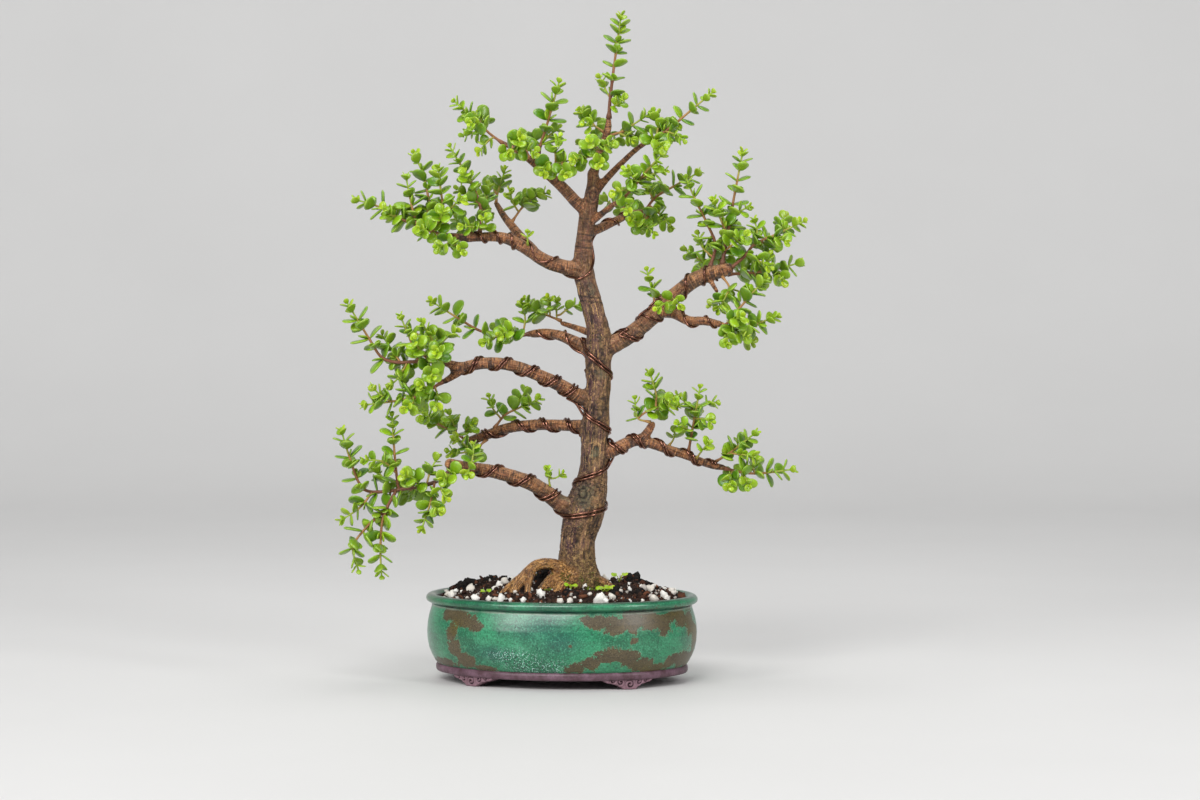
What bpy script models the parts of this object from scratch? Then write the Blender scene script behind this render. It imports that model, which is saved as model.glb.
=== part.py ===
"""A potted dwarf jade, trained as an informal upright bonsai, in an oval glazed pot on four feet.

Metres, +Z up, the front at -Y, and the origin on the table under the middle of the plant.
The tables are in millimetres, and each mesh is brought to metres where it is made.
"""
import bmesh
import bpy
import numpy as np
from mathutils import Vector
from mathutils.bvhtree import BVHTree

MM = 0.001
CLEARANCE = 0.35          # between pieces that touch
# A Boolean's solver and the way its faces are split, in the order in which they are tried.
FUSING_WAYS = [("EXACT", "BEAUTY"), ("MANIFOLD", "BEAUTY"), ("EXACT", "EAR_CLIP"), ("MANIFOLD", "EAR_CLIP")]

# The pot is an oval, 274 by 200 mm over its lip, and stands a little turned.
POT_CENTRE_X = -8.5
POT_TURN = np.radians(-9)
OVAL_DIFFERENCE = 37.0    # its half-width less its half-depth, at every height
POT_SEGMENTS = 32
POT_UNDERSIDE = 9.0
POT_FLOOR = 17.0
RIM_HEIGHT = 87.0
# Half-width and height up the outside, from the unglazed base band over the belly to the lip.
POT_OUTSIDE = [(123.5, POT_UNDERSIDE), (127.2, 10), (127.2, 15.8), (126, 17), (131.6, 26), (135.8, 40),
               (136.2, 55), (133.4, 69), (131.2, 76.4), (135.6, 78.6), (137, 82)]
# The same down the inside, from the lip's top to the floor.
POT_INSIDE = [(134.5, RIM_HEIGHT), (128, 86), (125.5, 78), (126, 40), (117, POT_FLOOR)]
FOOT_ANGLES = np.radians([50.3, 129.7, 230.3, 309.7])
FOOT_HALF_WIDTH = 124.0   # of the oval that the feet's fronts follow
FOOT_DEPTH = 11.0
FOOT_OVERLAP = 3.0        # how far the feet run up into the base
# A scroll foot's lower edge, along the oval and up.
FOOT_OUTLINE = [(-25, 7.6), (-18, 5.8), (-11, 3.6), (-6, 0), (6, 0), (11, 3.6), (18, 5.8), (25, 7.6)]
DRAIN_X = 45.0            # the two drain holes lie this far left and right of the middle
DRAIN_RADIUS = 10.0
DRAIN_SIDES = 16
CUT_THROUGH = 4.0         # how far the holes' cutters stand out of the floor
SCREEN_SIZE = 30.0
SCREEN_THICKNESS = 1.2
SCREEN_CELLS = 5          # a screen is a square of cells, and every second inner cell is open

# The soil rises from the wall to the trunk, with lumps as (x, y, radius, height).
SOIL_BOTTOM = POT_FLOOR + CLEARANCE + SCREEN_THICKNESS + CLEARANCE
SOIL_EDGE = 83.5
SOIL_MOUND = 12.0
SOIL_LUMPS = [(-106, 14, 20, 9), (-78, 40, 20, 9), (64, 22, 24, 10), (92, -4, 16, 4), (-60, -48, 22, 2),
              (20, 50, 30, 3)]
SOIL_RINGS = [0.28, 0.54, 0.79]    # rings of its top, as shares of its width
SOIL_WALL_HEIGHTS = [SOIL_BOTTOM, 40, 78, SOIL_EDGE]
SOIL_SEED = 7
HOLE_CLEARANCE = CLEARANCE + 0.08   # round the trunk and the roots
# White perlite, bark and pumice grains that lie on it, as (x, y, radius).
GRAINS = [(-65, 12, 5), (-76, -18, 4.4), (-34, -62, 6.4), (30, -78, 6), (42, -62, 5), (95, -32, 5.4),
          (2, -87, 4.4), (-52, -74, 4), (-96, -46, 4.4), (62, -46, 4.2), (50, 34, 5), (110, 2, 4),
          (-98, 22, 5), (-30, 60, 4.6), (82, 18, 5.4), (22, 72, 4.4)]
GRAIN_SHARES = (0.75, 1.15)   # a grain's half-widths, as shares of its radius
GRAIN_RISE = 0.3          # how high its middle lies above the soil, in radii

# The sides of the tubes of the trunk, of limbs that start thicker than the radius given, and of thin ones.
TRUNK_SIDES = 9
THICK_SIDES = 6
THIN_SIDES = 5
THICK_RADIUS = 8.0
ROUTE_STEP = 3.0          # between a smooth route's points
NEAR = 2.0                # a direction at a place is taken from this far on either side of it

# Wood: each limb is a route of (x, y, z, radius), in millimetres, from where it joins to its end.
TRUNK = [
    (7, 0, 72, 15), (8, 0, 88, 21), (9, 0, 100, 22.5), (8, 0, 112, 20), (7, -1, 126, 18.6), (8, -1, 143, 18),
    (12, 0, 161, 20.3), (16, 1, 176, 20), (20, 2, 191, 17), (24, 3, 211, 14.3), (24.5, 3, 232, 14.3),
    (25, 2, 252, 14.3), (26.5, 0, 272, 13.2), (28, -2, 292, 12.4), (28.5, -3, 312, 13), (29, -3, 332, 13.5),
    (28, -2, 352, 12), (23.5, 0, 372, 11.3), (18, 1, 391, 10.4), (14.5, 2, 407, 10.6), (13, 2, 423, 10),
    (14, 1, 441, 8.7), (17, 0, 461, 9), (20.5, 0, 476, 8.4), (23, 0, 492, 7.3), (23, 0, 507, 6.4),
]
LIMBS = {
    "low_left": [(14, 0, 172, 11), (-6, -5, 176, 9.4), (-20, -9, 186, 8.4), (-40, -15, 199, 7.6),
                 (-62, -20, 207, 7), (-86, -25, 213, 6.6), (-106, -30, 216, 6.2), (-119, -33, 219, 5.8)],
    "back_left": [(18, 4, 254, 7.4), (2, 15, 254.5, 6.4), (-20, 24, 255, 5.9), (-42, 31, 254, 5.7),
                  (-62, 38, 251, 5.5), (-82, 46, 244.5, 5.2), (-97, 52, 239, 4.8), (-103, 54, 237, 4.2)],
    "mid_left": [(24, -2, 278, 9), (8, -6, 286, 7.8), (-8, -11, 295.5, 7), (-28, -16, 305, 6.5),
                 (-50, -21, 314, 6.3), (-70, -25, 318.5, 6), (-88, -28, 318.5, 5.9), (-104, -31, 315, 5.9),
                 (-114, -33, 314, 5.5)],
    "mid_left_upper_fork": [(-108, -32, 315, 5), (-118, -34, 318, 4.2), (-126, -36, 320, 3.4)],
    "mid_left_lower_fork": [(-106, -31, 313, 5), (-116, -31, 306, 4), (-124, -31, 301, 3)],
    "upper_back_left": [(24, 2, 330, 7), (8, 14, 337, 6.4), (-8, 25, 344, 5.6), (-24, 37, 347, 5),
                        (-38, 47, 346, 4.4)],
    "upper_back_twig": [(26, 4, 346, 4.4), (8, 22, 352, 3.4), (-8, 36, 357, 2.8)],
    "upper_left": [(14, 1, 411, 9), (-6, -3, 414, 7.7), (-22, -6, 419, 6.9), (-40, -8, 430, 6.5),
                   (-54, -10, 438.5, 6), (-70, -11, 444, 5.4), (-88, -12, 444, 4.8), (-104, -13, 443, 4.4),
                   (-119, -14, 444.5, 4)],
    "upper_left_riser": [(-36, -6, 430, 5.8), (-46, 4, 440, 5.4), (-56, 16, 452, 4.6), (-66, 28, 464, 3.8),
                         (-74, 38, 477, 3)],
    "top_left_fork": [(19, 0, 468, 7.4), (6, -1, 479, 6.4), (-5, -2, 491, 6), (-16, -4, 501, 5.4),
                      (-28, -6, 511, 4.6), (-40, -7, 521, 3.9), (-52, -8, 530, 3.3), (-66, -9, 537, 2.6)],
    "leader": [(23, 0, 500, 5.4), (27, -2, 522, 4.2), (34, -3, 540, 3.8), (38, -3, 552, 3.9),
               (38.5, -3, 561, 2.9)],
    "top_right_fork": [(22, 0, 484, 5), (33, -2, 498, 4), (42, -3, 508, 3.6), (54, -5, 520, 3.2),
                       (66, -7, 531, 2.9), (79, -8, 540, 2.5)],
    "right_front_twig": [(17, -2, 456, 4.6), (33, -8, 468, 3.4), (43, -12, 476, 2.9), (51, -15, 481, 2.4)],
    "right_back_stub": [(16, 2, 448, 6), (30, 12, 453, 5), (45, 26, 460, 4.4), (60, 40, 467, 3.6),
                        (73, 51, 470, 2.8)],
    "right": [(28, -2, 330, 11), (46, -3, 338, 9.2), (62, -5, 348, 8.8), (78, -8, 361, 8.8),
              (94, -11, 376, 8.6), (108, -13, 389, 8.3), (122, -15, 400, 8), (137, -16, 407, 7.7),
              (150, -17, 410, 7.2), (157, -17, 412, 6.4)],
    "right_fork": [(90, -12, 370, 6.4), (104, -24, 368, 5.6), (118, -34, 361, 5), (132, -41, 361, 4.4),
                   (148, -46, 358, 3.6)],
    "right_snag": [(139, -18, 402, 3), (143, -22, 395, 2.4), (146, -25, 390, 2.2)],
    "low_right": [(26, 1, 226, 8.4), (43, 1, 230.5, 7), (56, 3, 237, 6.3), (68, 5, 240.5, 6),
                  (82, 8, 237, 5.4), (97, 11, 231, 5), (113, 13, 226, 4.6), (129, 14, 219.5, 4.2),
                  (143, 15, 214.5, 3.8), (154, 16, 212, 3.2)],
    "low_right_stub": [(70, 5, 240, 5), (78, 4, 249, 4.8), (82, 3, 256, 4)],
}
ROOTS = {
    "arched_root": [(4, -6, 104, 9), (-14, -15, 116, 6.6), (-28, -22, 118.5, 5.6), (-38, -28, 115, 5.2),
                    (-47, -33, 106, 4.8), (-54, -38, 95, 4.6), (-60, -42, 80, 3.6)],
    "arched_root_finger": [(-36, -27, 115, 4.4), (-40, -35, 104, 3.8), (-42, -41, 92, 3.3),
                           (-41, -45, 78, 2.8)],
    "arched_root_spur": [(-44, -31, 110, 3.8), (-58, -34, 100, 3), (-68, -38, 90, 2.6),
                         (-74, -41, 78, 2.2)],
    "root_mass": [(4, -8, 104, 15), (-10, -15, 101, 12), (-21, -20, 95, 9), (-29, -24, 86, 7),
                  (-34, -27, 76, 5)],
    "front_root": [(4, -10, 102, 8), (-8, -24, 97, 6.5), (-14, -36, 88, 4.8), (-16, -46, 74, 3.4)],
    "right_root": [(14, 0, 100, 8), (32, -6, 98, 6), (42, -9, 90, 4.5), (48, -10, 76, 3.2)],
    "back_root": [(8, 6, 100, 8), (10, 26, 98, 6), (12, 37, 90, 4.6), (13, 44, 76, 3.2)],
    "left_back_root": [(2, 4, 101, 8), (-18, 14, 99, 5.6), (-30, 20, 91, 4.2), (-36, 24, 77, 3)],
}

# The training wires, of copper-coloured aluminium, each a strand wound along one limb, round the trunk and
# out along another. On a limb a strand is given as (x, angle), where the angle goes round the limb from its
# top over its front, in degrees. On the trunk it is (angle, z), from the right over the back.
WIRE_RADIUS = 1.25
STRAND_SPACING = 3.5
WIRE_SIDES = 3
STRAND_CLEARANCE = 0.45   # between strands where they cross
WIRE_STEP = 62.0          # degrees of winding between a strand's points
WIRE_SAMPLES = 8          # places on each stretch of a strand that are kept clear
WIRE_REACH = 36.0         # wood and strands farther off than this can't touch one
WIRE_YIELD = 0.3          # how far it gives way at each turn of settling
SETTLING_TURNS = 220
SMOOTHING_TURNS = 40      # the first of them, which also straighten the strand by this share
WIRE_STRAIGHTENING = 0.06
WOUND_LOW_LEFT = ("low_left", [(-98, 1000), (-81, 810), (-48.4, 450), (-21, 90), (-16, -60), (-13, -150)])
WOUND_LOW_TRUNK = ("trunk", [(210, 160), (235, 163), (270, 168), (315, 174), (360, 177), (405, 180),
                             (450, 184), (495, 189), (540, 196), (585, 202), (630, 207), (675, 210),
                             (715, 214), (735, 228)])
WOUND_LOW_RIGHT = ("low_right", [(41, -60), (48, 90), (70, 450), (95, 810), (124, 1170), (146, 1500)])
WOUND_MID_LEFT = ("mid_left", [(-108, 1660), (-98, 1530), (-70, 1170), (-43, 810), (-20, 450), (-1, 90),
                               (1, -30), (3, -140)])
WOUND_MID_TRUNK = ("trunk", [(205, 267), (235, 267), (270, 262), (315, 254), (360, 249), (405, 246),
                             (445, 245)])
WOUND_BACK_LEFT = ("back_left", [(8, 240), (2, 90), (-24, -270), (-48, -630), (-56, -720), (-84, -990),
                                 (-92, -1150)])
WOUND_UPPER_TRUNK = ("trunk", [(40, 347), (90, 345), (135, 344), (180, 339), (225, 331), (270, 320),
                               (315, 311), (360, 305), (405, 300), (450, 299), (495, 304), (525, 314)])
WOUND_UPPER_BACK = ("upper_back_left", [(10, 200), (1, 90), (-15, -110), (-31, -300)])
WOUND_RIGHT = ("right", [(98, 830), (81, 450), (60, 90), (45, -80)])
WOUND_RIGHT_OUTER = ("right", [(142, -540), (131, -270), (114, 90), (95, 300), (84, 420), (76, 440),
                               (66, 330), (56, 90), (45, -80)])
WOUND_RIGHT_FORK = ("right_fork", [(145, 1650), (140, 1530), (116, 1170), (104, 960)])
WOUND_UPPER_LEFT = ("upper_left", [(-98, -90), (-89, 90), (-71, 450), (-58, 810), (-39, 1170), (-31, 1250),
                                   (-21, 1170), (-13, 1080), (-9, 930)])
WOUND_TOP_TRUNK = ("trunk", [(195, 398), (230, 397), (270, 401), (315, 409), (350, 417), (380, 427),
                             (405, 437)])
WOUND_RIGHT_BACK = ("right_back_stub", [(29, -160), (34, -95), (39, 0), (43, 90), (52, 270), (60, 450)])
# Each strand is its stretches in order, and how far it lies beside the first strand along them.
WIRES = {
    "wire_1a": ([WOUND_LOW_LEFT, WOUND_LOW_TRUNK, WOUND_LOW_RIGHT], 0),
    "wire_1b": ([WOUND_LOW_LEFT, WOUND_LOW_TRUNK, WOUND_LOW_RIGHT], STRAND_SPACING),
    "wire_2a": ([WOUND_MID_LEFT, WOUND_MID_TRUNK, WOUND_BACK_LEFT], 0),
    "wire_2b": ([WOUND_MID_LEFT, WOUND_MID_TRUNK, WOUND_BACK_LEFT], STRAND_SPACING),
    "wire_3a": ([WOUND_RIGHT_FORK, WOUND_RIGHT, WOUND_UPPER_TRUNK, WOUND_UPPER_BACK], 0),
    "wire_3b": ([WOUND_RIGHT_OUTER, WOUND_UPPER_TRUNK], STRAND_SPACING),
    "wire_4": ([WOUND_UPPER_LEFT, WOUND_TOP_TRUNK, WOUND_RIGHT_BACK], 0),
}

# Leafy sprays: each is a list of shoots, and each shoot a route of (x, y, z) in millimetres from its foot
# to its tip. A spray's first shoot stands on the wood, and each later shoot on the nearest stem before it.
SPRAYS = {
    # The pad at the end of the lowest left limb.
    "low_left_end": [
        [(-118, -33, 213), (-134, -35, 201), (-160, -35, 195), (-196, -31, 191), (-209, -33, 200),
         (-219, -36, 228), (-226, -38, 252)],
        [(-196, -32, 191), (-208, -40, 176), (-226, -46, 164)],
        [(-170, -34, 194), (-173, -34, 220), (-176, -36, 266)],
        [(-172, -34, 210), (-184, -46, 222), (-202, -50, 224)],
        [(-172, -35, 193), (-184, -46, 168), (-187, -50, 138), (-186, -50, 110)],
        [(-182, -42, 174), (-200, -48, 158), (-214, -50, 138), (-209, -52, 116)],
        [(-150, -35, 197), (-153, -50, 205), (-162, -62, 210)],
        [(-142, -35, 199), (-138, -30, 213), (-132, -24, 224)],
        [(-134, -36, 200), (-138, -46, 180), (-146, -54, 156)],
        [(-137, -44, 183), (-134, -56, 178), (-128, -62, 174)],
        [(-180, -34, 194), (-186, -20, 204), (-196, -8, 214)],
        [(-155, -35, 197), (-160, -16, 190), (-168, 2, 186)],
        [(-119, -34, 212), (-118, -46, 210), (-124, -60, 206)],
        [(-118, -46, 210), (-127, -54, 197), (-122, -60, 188)],
    ],
    "low_left_mid": [
        [(-98, -37, 216), (-99, -44, 215), (-101, -54, 210)],
        [(-98, -42, 215), (-96, -40, 226), (-95, -36, 238)],
    ],
    "low_left_sprig": [
        [(-20, -12, 195), (-21, -15, 203), (-22, -18, 213)],
        [(-21, -15, 203), (-14, -17, 204), (-8, -18, 208)],
    ],
    # The back left limb's pad.
    "back_left_end": [
        [(-106, 54, 237), (-116, 58, 244), (-134, 62, 253), (-158, 66, 272)],
        [(-116, 57, 244), (-119, 48, 255), (-123, 40, 266)],
        [(-112, 56, 241), (-104, 46, 250), (-98, 36, 256)],
        [(-125, 60, 249), (-130, 74, 256), (-138, 88, 262)],
        [(-140, 63, 256), (-146, 52, 262), (-150, 42, 262)],
    ],
    "back_left_riser": [
        [(-76, 42, 252), (-66, 44, 264), (-50, 42, 272), (-32, 40, 280)],
        [(-70, 43, 260), (-78, 38, 270), (-82, 34, 282)],
        [(-56, 42, 270), (-50, 54, 280), (-46, 66, 288)],
    ],
    "back_left_under": [
        [(-86, 46, 238), (-96, 38, 230), (-110, 32, 226), (-122, 28, 228)],
        [(-90, 43, 235), (-94, 56, 226), (-98, 70, 220)],
        [(-102, 35, 228), (-110, 26, 238), (-116, 18, 242)],
    ],
    # The middle left limb's pad.
    "mid_left_upper": [
        [(-129, -36, 320), (-146, -37, 321), (-170, -38, 320), (-186, -38, 325), (-198, -39, 343),
         (-219, -42, 378)],
        [(-168, -38, 321), (-176, -32, 332), (-186, -26, 346)],
        [(-150, -37, 321), (-158, -42, 344), (-167, -46, 366)],
        [(-133, -36, 321), (-136, -42, 342), (-146, -50, 360)],
        [(-134, -38, 328), (-124, -30, 342), (-113, -26, 350)],
        [(-132, -38, 322), (-128, -58, 330), (-130, -76, 332)],
        [(-140, -37, 322), (-148, -58, 334), (-152, -74, 344)],
        [(-140, -37, 321), (-136, -56, 312), (-134, -72, 308)],
        [(-140, -36, 322), (-138, -14, 332), (-144, 8, 344)],
        [(-156, -37, 321), (-166, -18, 318), (-178, -2, 320)],
        [(-160, -38, 320), (-170, -42, 304), (-177, -46, 298)],
        [(-144, -44, 345), (-154, -42, 350), (-160, -38, 354)],
    ],
    "mid_left_lower": [
        [(-127, -31, 300), (-138, -36, 293), (-152, -44, 286), (-172, -44, 282), (-203, -46, 278)],
        [(-138, -36, 293), (-141, -52, 296), (-146, -66, 298)],
        [(-146, -42, 288), (-154, -58, 281), (-160, -70, 276)],
        [(-134, -34, 296), (-130, -44, 286), (-132, -56, 278)],
        [(-140, -38, 291), (-146, -20, 282), (-152, -2, 278)],
        [(-176, -44, 281), (-186, -52, 288), (-194, -56, 296)],
        [(-156, -44, 286), (-162, -40, 298), (-164, -34, 308)],
    ],
    # The upper back left limb's pads.
    "upper_back_end": [
        [(-41, 48, 346), (-58, 44, 344), (-88, 43, 348), (-112, 42, 361), (-140, 38, 379)],
        [(-54, 45, 345), (-62, 28, 348), (-70, 12, 347)],
        [(-66, 43, 346), (-78, 32, 342), (-86, 22, 338)],
        [(-62, 44, 345), (-68, 58, 350), (-76, 74, 354)],
        [(-48, 46, 346), (-46, 52, 362), (-50, 56, 376)],
    ],
    "upper_back_twig_end": [
        [(-11, 40, 360), (-24, 48, 365), (-36, 54, 370), (-46, 57, 380)],
        [(-28, 50, 367), (-34, 70, 370), (-40, 92, 374)],
        [(-14, 42, 362), (-14, 43, 370), (-14, 44, 381)],
        [(-12, 41, 364), (0, 48, 373), (12, 54, 376)],
        [(-20, 46, 364), (-22, 34, 374), (-22, 26, 382)],
    ],
    # The upper left limb's pads.
    "upper_left_end": [
        [(-122, -14, 445), (-142, -16, 451), (-166, -16, 461), (-190, -14, 474), (-213, -11, 481)],
        [(-152, -16, 455), (-157, -14, 474), (-163, -12, 504)],
        [(-142, -15, 451), (-141, -4, 478), (-146, 6, 504), (-156, 10, 527)],
        [(-170, -16, 463), (-178, -26, 466), (-184, -34, 472)],
        [(-130, -15, 447), (-140, -34, 451), (-148, -50, 452)],
        [(-160, -16, 458), (-170, 0, 462), (-180, 16, 468)],
        [(-148, -15, 454), (-150, 14, 462), (-152, 38, 470)],
        [(-136, -15, 449), (-128, -30, 462), (-124, -44, 470)],
        [(-123, -14, 445), (-120, -30, 438), (-130, -46, 434)],
        [(-120, -26, 440), (-110, -36, 434), (-106, -46, 430)],
        [(-124, -15, 446), (-125, -18, 468), (-128, -20, 490), (-130, -22, 512)],
        [(-124, -17, 466), (-114, -28, 476), (-106, -36, 482)],
    ],
    "upper_left_diagonal": [
        [(-90, -10, 448), (-88, -6, 466), (-96, -4, 494), (-109, -4, 516), (-119, -4, 533)],
        [(-88, -7, 462), (-84, 4, 480), (-82, 10, 496)],
        [(-91, -5, 478), (-102, 4, 486), (-112, 12, 492)],
        [(-94, -4, 490), (-100, -16, 500), (-104, -26, 508)],
        [(-90, -10, 450), (-84, -22, 455), (-84, -34, 463)],
        [(-86, -20, 453), (-98, -28, 454), (-106, -36, 454)],
    ],
    "upper_left_back": [
        [(-98, -10, 447), (-102, 6, 452), (-108, 28, 458), (-114, 50, 466)],
        [(-104, 14, 454), (-92, 28, 460), (-82, 40, 466)],
    ],
    "riser_end": [
        [(-75, 40, 479), (-73, 43, 490), (-66, 45, 512)],
        [(-75, 41, 483), (-86, 46, 482), (-98, 52, 484)],
        [(-74, 42, 486), (-78, 58, 494), (-82, 74, 502)],
    ],
    "riser_mid": [
        [(-58, 22, 460), (-48, 28, 474), (-36, 30, 484), (-24, 28, 488)],
        [(-46, 29, 476), (-44, 44, 482), (-40, 60, 488)],
        [(-52, 26, 469), (-58, 18, 480), (-60, 14, 490)],
    ],
    "riser_sprig": [
        [(-42, -14, 437), (-42, -18, 442), (-42, -20, 447)],
    ],
    # The top left fork.
    "top_left_end": [
        [(-68, -9, 538), (-80, -8, 547), (-96, -8, 562), (-114, -8, 578)],
        [(-84, -8, 551), (-96, -2, 548), (-106, 4, 546)],
        [(-76, -8, 544), (-84, -14, 536), (-90, -18, 528)],
        [(-92, -8, 558), (-94, -20, 556), (-98, -30, 556)],
        [(-90, -8, 556), (-88, 6, 562), (-90, 20, 568)],
    ],
    "top_left_front": [
        [(-54, -12, 530), (-52, -28, 536), (-48, -44, 540)],
        [(-53, -20, 533), (-62, -32, 529), (-60, -44, 526)],
        [(-52, -22, 534), (-40, -32, 530), (-34, -42, 527)],
    ],
    "top_left_upright": [
        [(-30, -5, 517), (-30, -4, 532), (-24, -4, 552), (-18, -4, 572), (-11, -4, 597)],
        [(-28, -4, 538), (-20, 8, 546), (-12, 18, 552)],
    ],
    "top_left_inner": [
        [(-22, -9, 512), (-12, -13, 517), (4, -18, 521)],
        [(-14, -12, 516), (-14, -20, 530), (-10, -26, 542)],
        [(-8, -15, 518), (-6, -30, 510), (-4, -42, 506)],
        [(-18, -10, 514), (-24, -24, 512), (-26, -34, 508)],
    ],
    "top_left_back": [
        [(-42, -2, 525), (-44, 14, 532), (-48, 34, 540), (-50, 52, 548)],
        [(-46, 24, 536), (-34, 34, 542), (-26, 42, 550)],
    ],
    # The leader and the top.
    "leader_tip": [
        [(39, -3, 564), (40, -2, 580), (43, -2, 606), (47, -2, 636), (51, -2, 664)],
        [(40, -2, 582), (35, 0, 592), (30, 2, 602)],
        [(40, -2, 572), (48, -12, 576), (54, -20, 582)],
    ],
    "leader_left": [
        [(33, -1, 549), (22, 3, 557), (10, 6, 570)],
        [(25, 2, 555), (20, -10, 554), (14, -18, 556)],
        [(24, 2, 556), (20, 14, 562), (14, 26, 570)],
    ],
    "leader_front": [
        [(24, -7, 518), (23, -20, 530), (20, -38, 538)],
        [(24, -14, 524), (30, -28, 520), (30, -42, 516)],
        [(23, -14, 524), (12, -26, 522), (4, -36, 520)],
        [(23, -18, 528), (34, -26, 534), (42, -36, 536)],
    ],
    "leader_right": [
        [(39, 0, 545), (54, 2, 550), (66, 4, 558), (78, 6, 566)],
        [(52, 2, 549), (62, 14, 546), (72, 26, 546)],
        [(48, 1, 548), (56, -8, 544), (62, -16, 540)],
    ],
    "leader_back": [
        [(30, 3, 528), (32, 20, 536), (34, 38, 546), (34, 56, 556)],
        [(33, 28, 540), (46, 34, 542), (58, 42, 548)],
        [(32, 18, 535), (20, 28, 534), (10, 38, 538)],
    ],
    # The top right fork and the two twigs below it.
    "top_right_end": [
        [(82, -8, 541), (98, -8, 551), (116, -7, 566), (141, -5, 587)],
        [(86, -8, 544), (88, -2, 556), (84, 2, 568)],
        [(82, -9, 542), (88, -26, 538), (92, -40, 532)],
        [(94, -8, 549), (104, -16, 546), (112, -22, 540)],
        [(90, -8, 546), (94, 10, 550), (100, 26, 556)],
    ],
    "right_front_end": [
        [(53, -16, 482), (64, -20, 494), (76, -25, 509), (92, -31, 526)],
        [(60, -19, 490), (52, -32, 490), (44, -42, 488)],
        [(70, -23, 501), (82, -22, 506), (94, -20, 510)],
        [(55, -17, 484), (58, -30, 476), (56, -40, 470)],
        [(66, -21, 497), (62, -34, 504), (56, -42, 510)],
    ],
    "right_back_end": [
        [(76, 52, 471), (86, 51, 484), (104, 48, 495), (129, 44, 509)],
        [(80, 51, 476), (92, 44, 466), (101, 36, 454)],
        [(82, 51, 479), (86, 64, 488), (92, 78, 494)],
        [(78, 51, 474), (74, 64, 462), (76, 76, 452)],
        [(84, 51, 482), (78, 42, 494), (76, 34, 502)],
        [(82, 51, 475), (78, 38, 464), (68, 22, 459), (62, 6, 461)],
        [(70, 24, 460), (78, 16, 454), (84, 8, 447)],
    ],
    "right_back_rear": [
        [(52, 37, 466), (54, 54, 474), (54, 72, 482), (52, 90, 490)],
        [(54, 56, 475), (42, 64, 478), (32, 74, 484)],
    ],
    # The big right limb's pads.
    "right_inner_riser": [
        [(140, -10, 415), (145, -7, 436), (136, -6, 459), (125, -6, 481), (116, -6, 502)],
        [(142, -8, 424), (132, 0, 434), (128, 4, 446)],
    ],
    "right_riser": [
        [(152, -13, 418), (155, -10, 436), (159, -8, 458), (164, -8, 486), (172, -8, 528)],
        [(157, -9, 446), (148, -16, 466), (143, -20, 480)],
        [(160, -8, 464), (170, -16, 470), (178, -22, 474)],
        [(154, -11, 430), (166, -26, 440), (174, -38, 446)],
        [(155, -10, 438), (160, 10, 446), (168, 28, 452)],
    ],
    "right_end": [
        [(160, -17, 413), (174, -18, 425), (184, -18, 437), (206, -16, 447), (232, -12, 459)],
        [(184, -18, 437), (186, -20, 450), (183, -20, 461)],
        [(200, -16, 445), (208, -28, 442), (214, -38, 440)],
        [(190, -18, 440), (196, -2, 436), (204, 12, 432)],
        [(176, -18, 428), (188, -26, 420), (198, -34, 414)],
        [(208, -16, 448), (212, -4, 456), (214, 8, 464)],
    ],
    "right_end_lower": [
        [(159, -14, 407), (176, -8, 408), (202, -2, 411), (229, 4, 418)],
        [(182, -6, 409), (188, 10, 404), (196, 24, 400)],
        [(204, -2, 411), (208, -14, 406), (212, -24, 400)],
        [(190, -5, 410), (196, -12, 418), (198, -18, 426)],
        [(172, -9, 408), (176, 8, 414), (180, 24, 420)],
    ],
    "right_under": [
        [(152, -21, 404), (158, -28, 394), (153, -34, 382), (147, -38, 373)],
        [(158, -28, 393), (168, -34, 390), (176, -40, 386)],
        [(155, -32, 386), (148, -26, 380), (140, -20, 376)],
    ],
    "right_fork_end": [
        [(151, -47, 358), (162, -56, 353), (173, -70, 346)],
        [(154, -49, 357), (168, -46, 374), (180, -43, 388), (193, -40, 402)],
        [(156, -51, 356), (178, -52, 357), (203, -50, 365)],
        [(157, -52, 355), (162, -66, 362), (168, -78, 366)],
        [(160, -54, 354), (156, -68, 346), (154, -80, 340)],
        [(158, -53, 355), (170, -38, 346), (180, -26, 340)],
    ],
    "right_sprig": [
        [(82, -9, 373), (84, -8, 384), (80, -6, 398), (77, -6, 410)],
    ],
    "right_fork_base": [
        [(100, -19, 385), (103, -30, 382), (108, -44, 377)],
        [(102, -28, 382), (94, -36, 378), (87, -44, 374)],
    ],
    "right_back": [
        [(128, -8, 408), (134, 8, 414), (142, 28, 422), (150, 50, 430)],
        [(138, 18, 418), (126, 30, 424), (116, 40, 432)],
        [(143, 30, 423), (158, 36, 420), (170, 46, 420)],
    ],
    # The low right limb's pads.
    "low_right_end": [
        [(157, 16, 211), (176, 13, 207), (196, 12, 207), (224, 9, 211)],
        [(172, 14, 208), (176, 0, 202), (178, -12, 196)],
        [(164, 15, 210), (160, 4, 202), (160, -8, 196)],
        [(186, 12, 207), (184, 26, 212), (188, 40, 216)],
        [(166, 15, 209), (164, 30, 202), (164, 44, 196)],
    ],
    "low_right_riser": [
        [(146, 16, 218), (160, 11, 227), (174, 8, 238), (186, 6, 248)],
        [(160, 11, 227), (174, 0, 226), (186, -8, 224)],
        [(168, 9, 233), (172, 24, 236), (176, 38, 240)],
    ],
    "low_right_upright": [
        [(119, 13, 229), (122, 10, 246), (125, 9, 264), (128, 8, 280), (130, 8, 292)],
        [(122, 10, 248), (114, 0, 254), (108, -8, 258)],
        [(125, 9, 262), (134, 0, 262), (141, -8, 259)],
        [(126, 9, 268), (116, 16, 278), (108, 20, 284)],
        [(127, 9, 274), (138, 12, 278), (146, 14, 278)],
        [(124, 9, 258), (126, 24, 262), (128, 40, 268)],
    ],
    "low_right_stub_twigs": [
        [(79, 3, 259), (68, 6, 262), (66, 8, 272), (65, 8, 281)],
        [(68, 7, 263), (80, 3, 271), (93, 2, 274), (106, 3, 275)],
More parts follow.
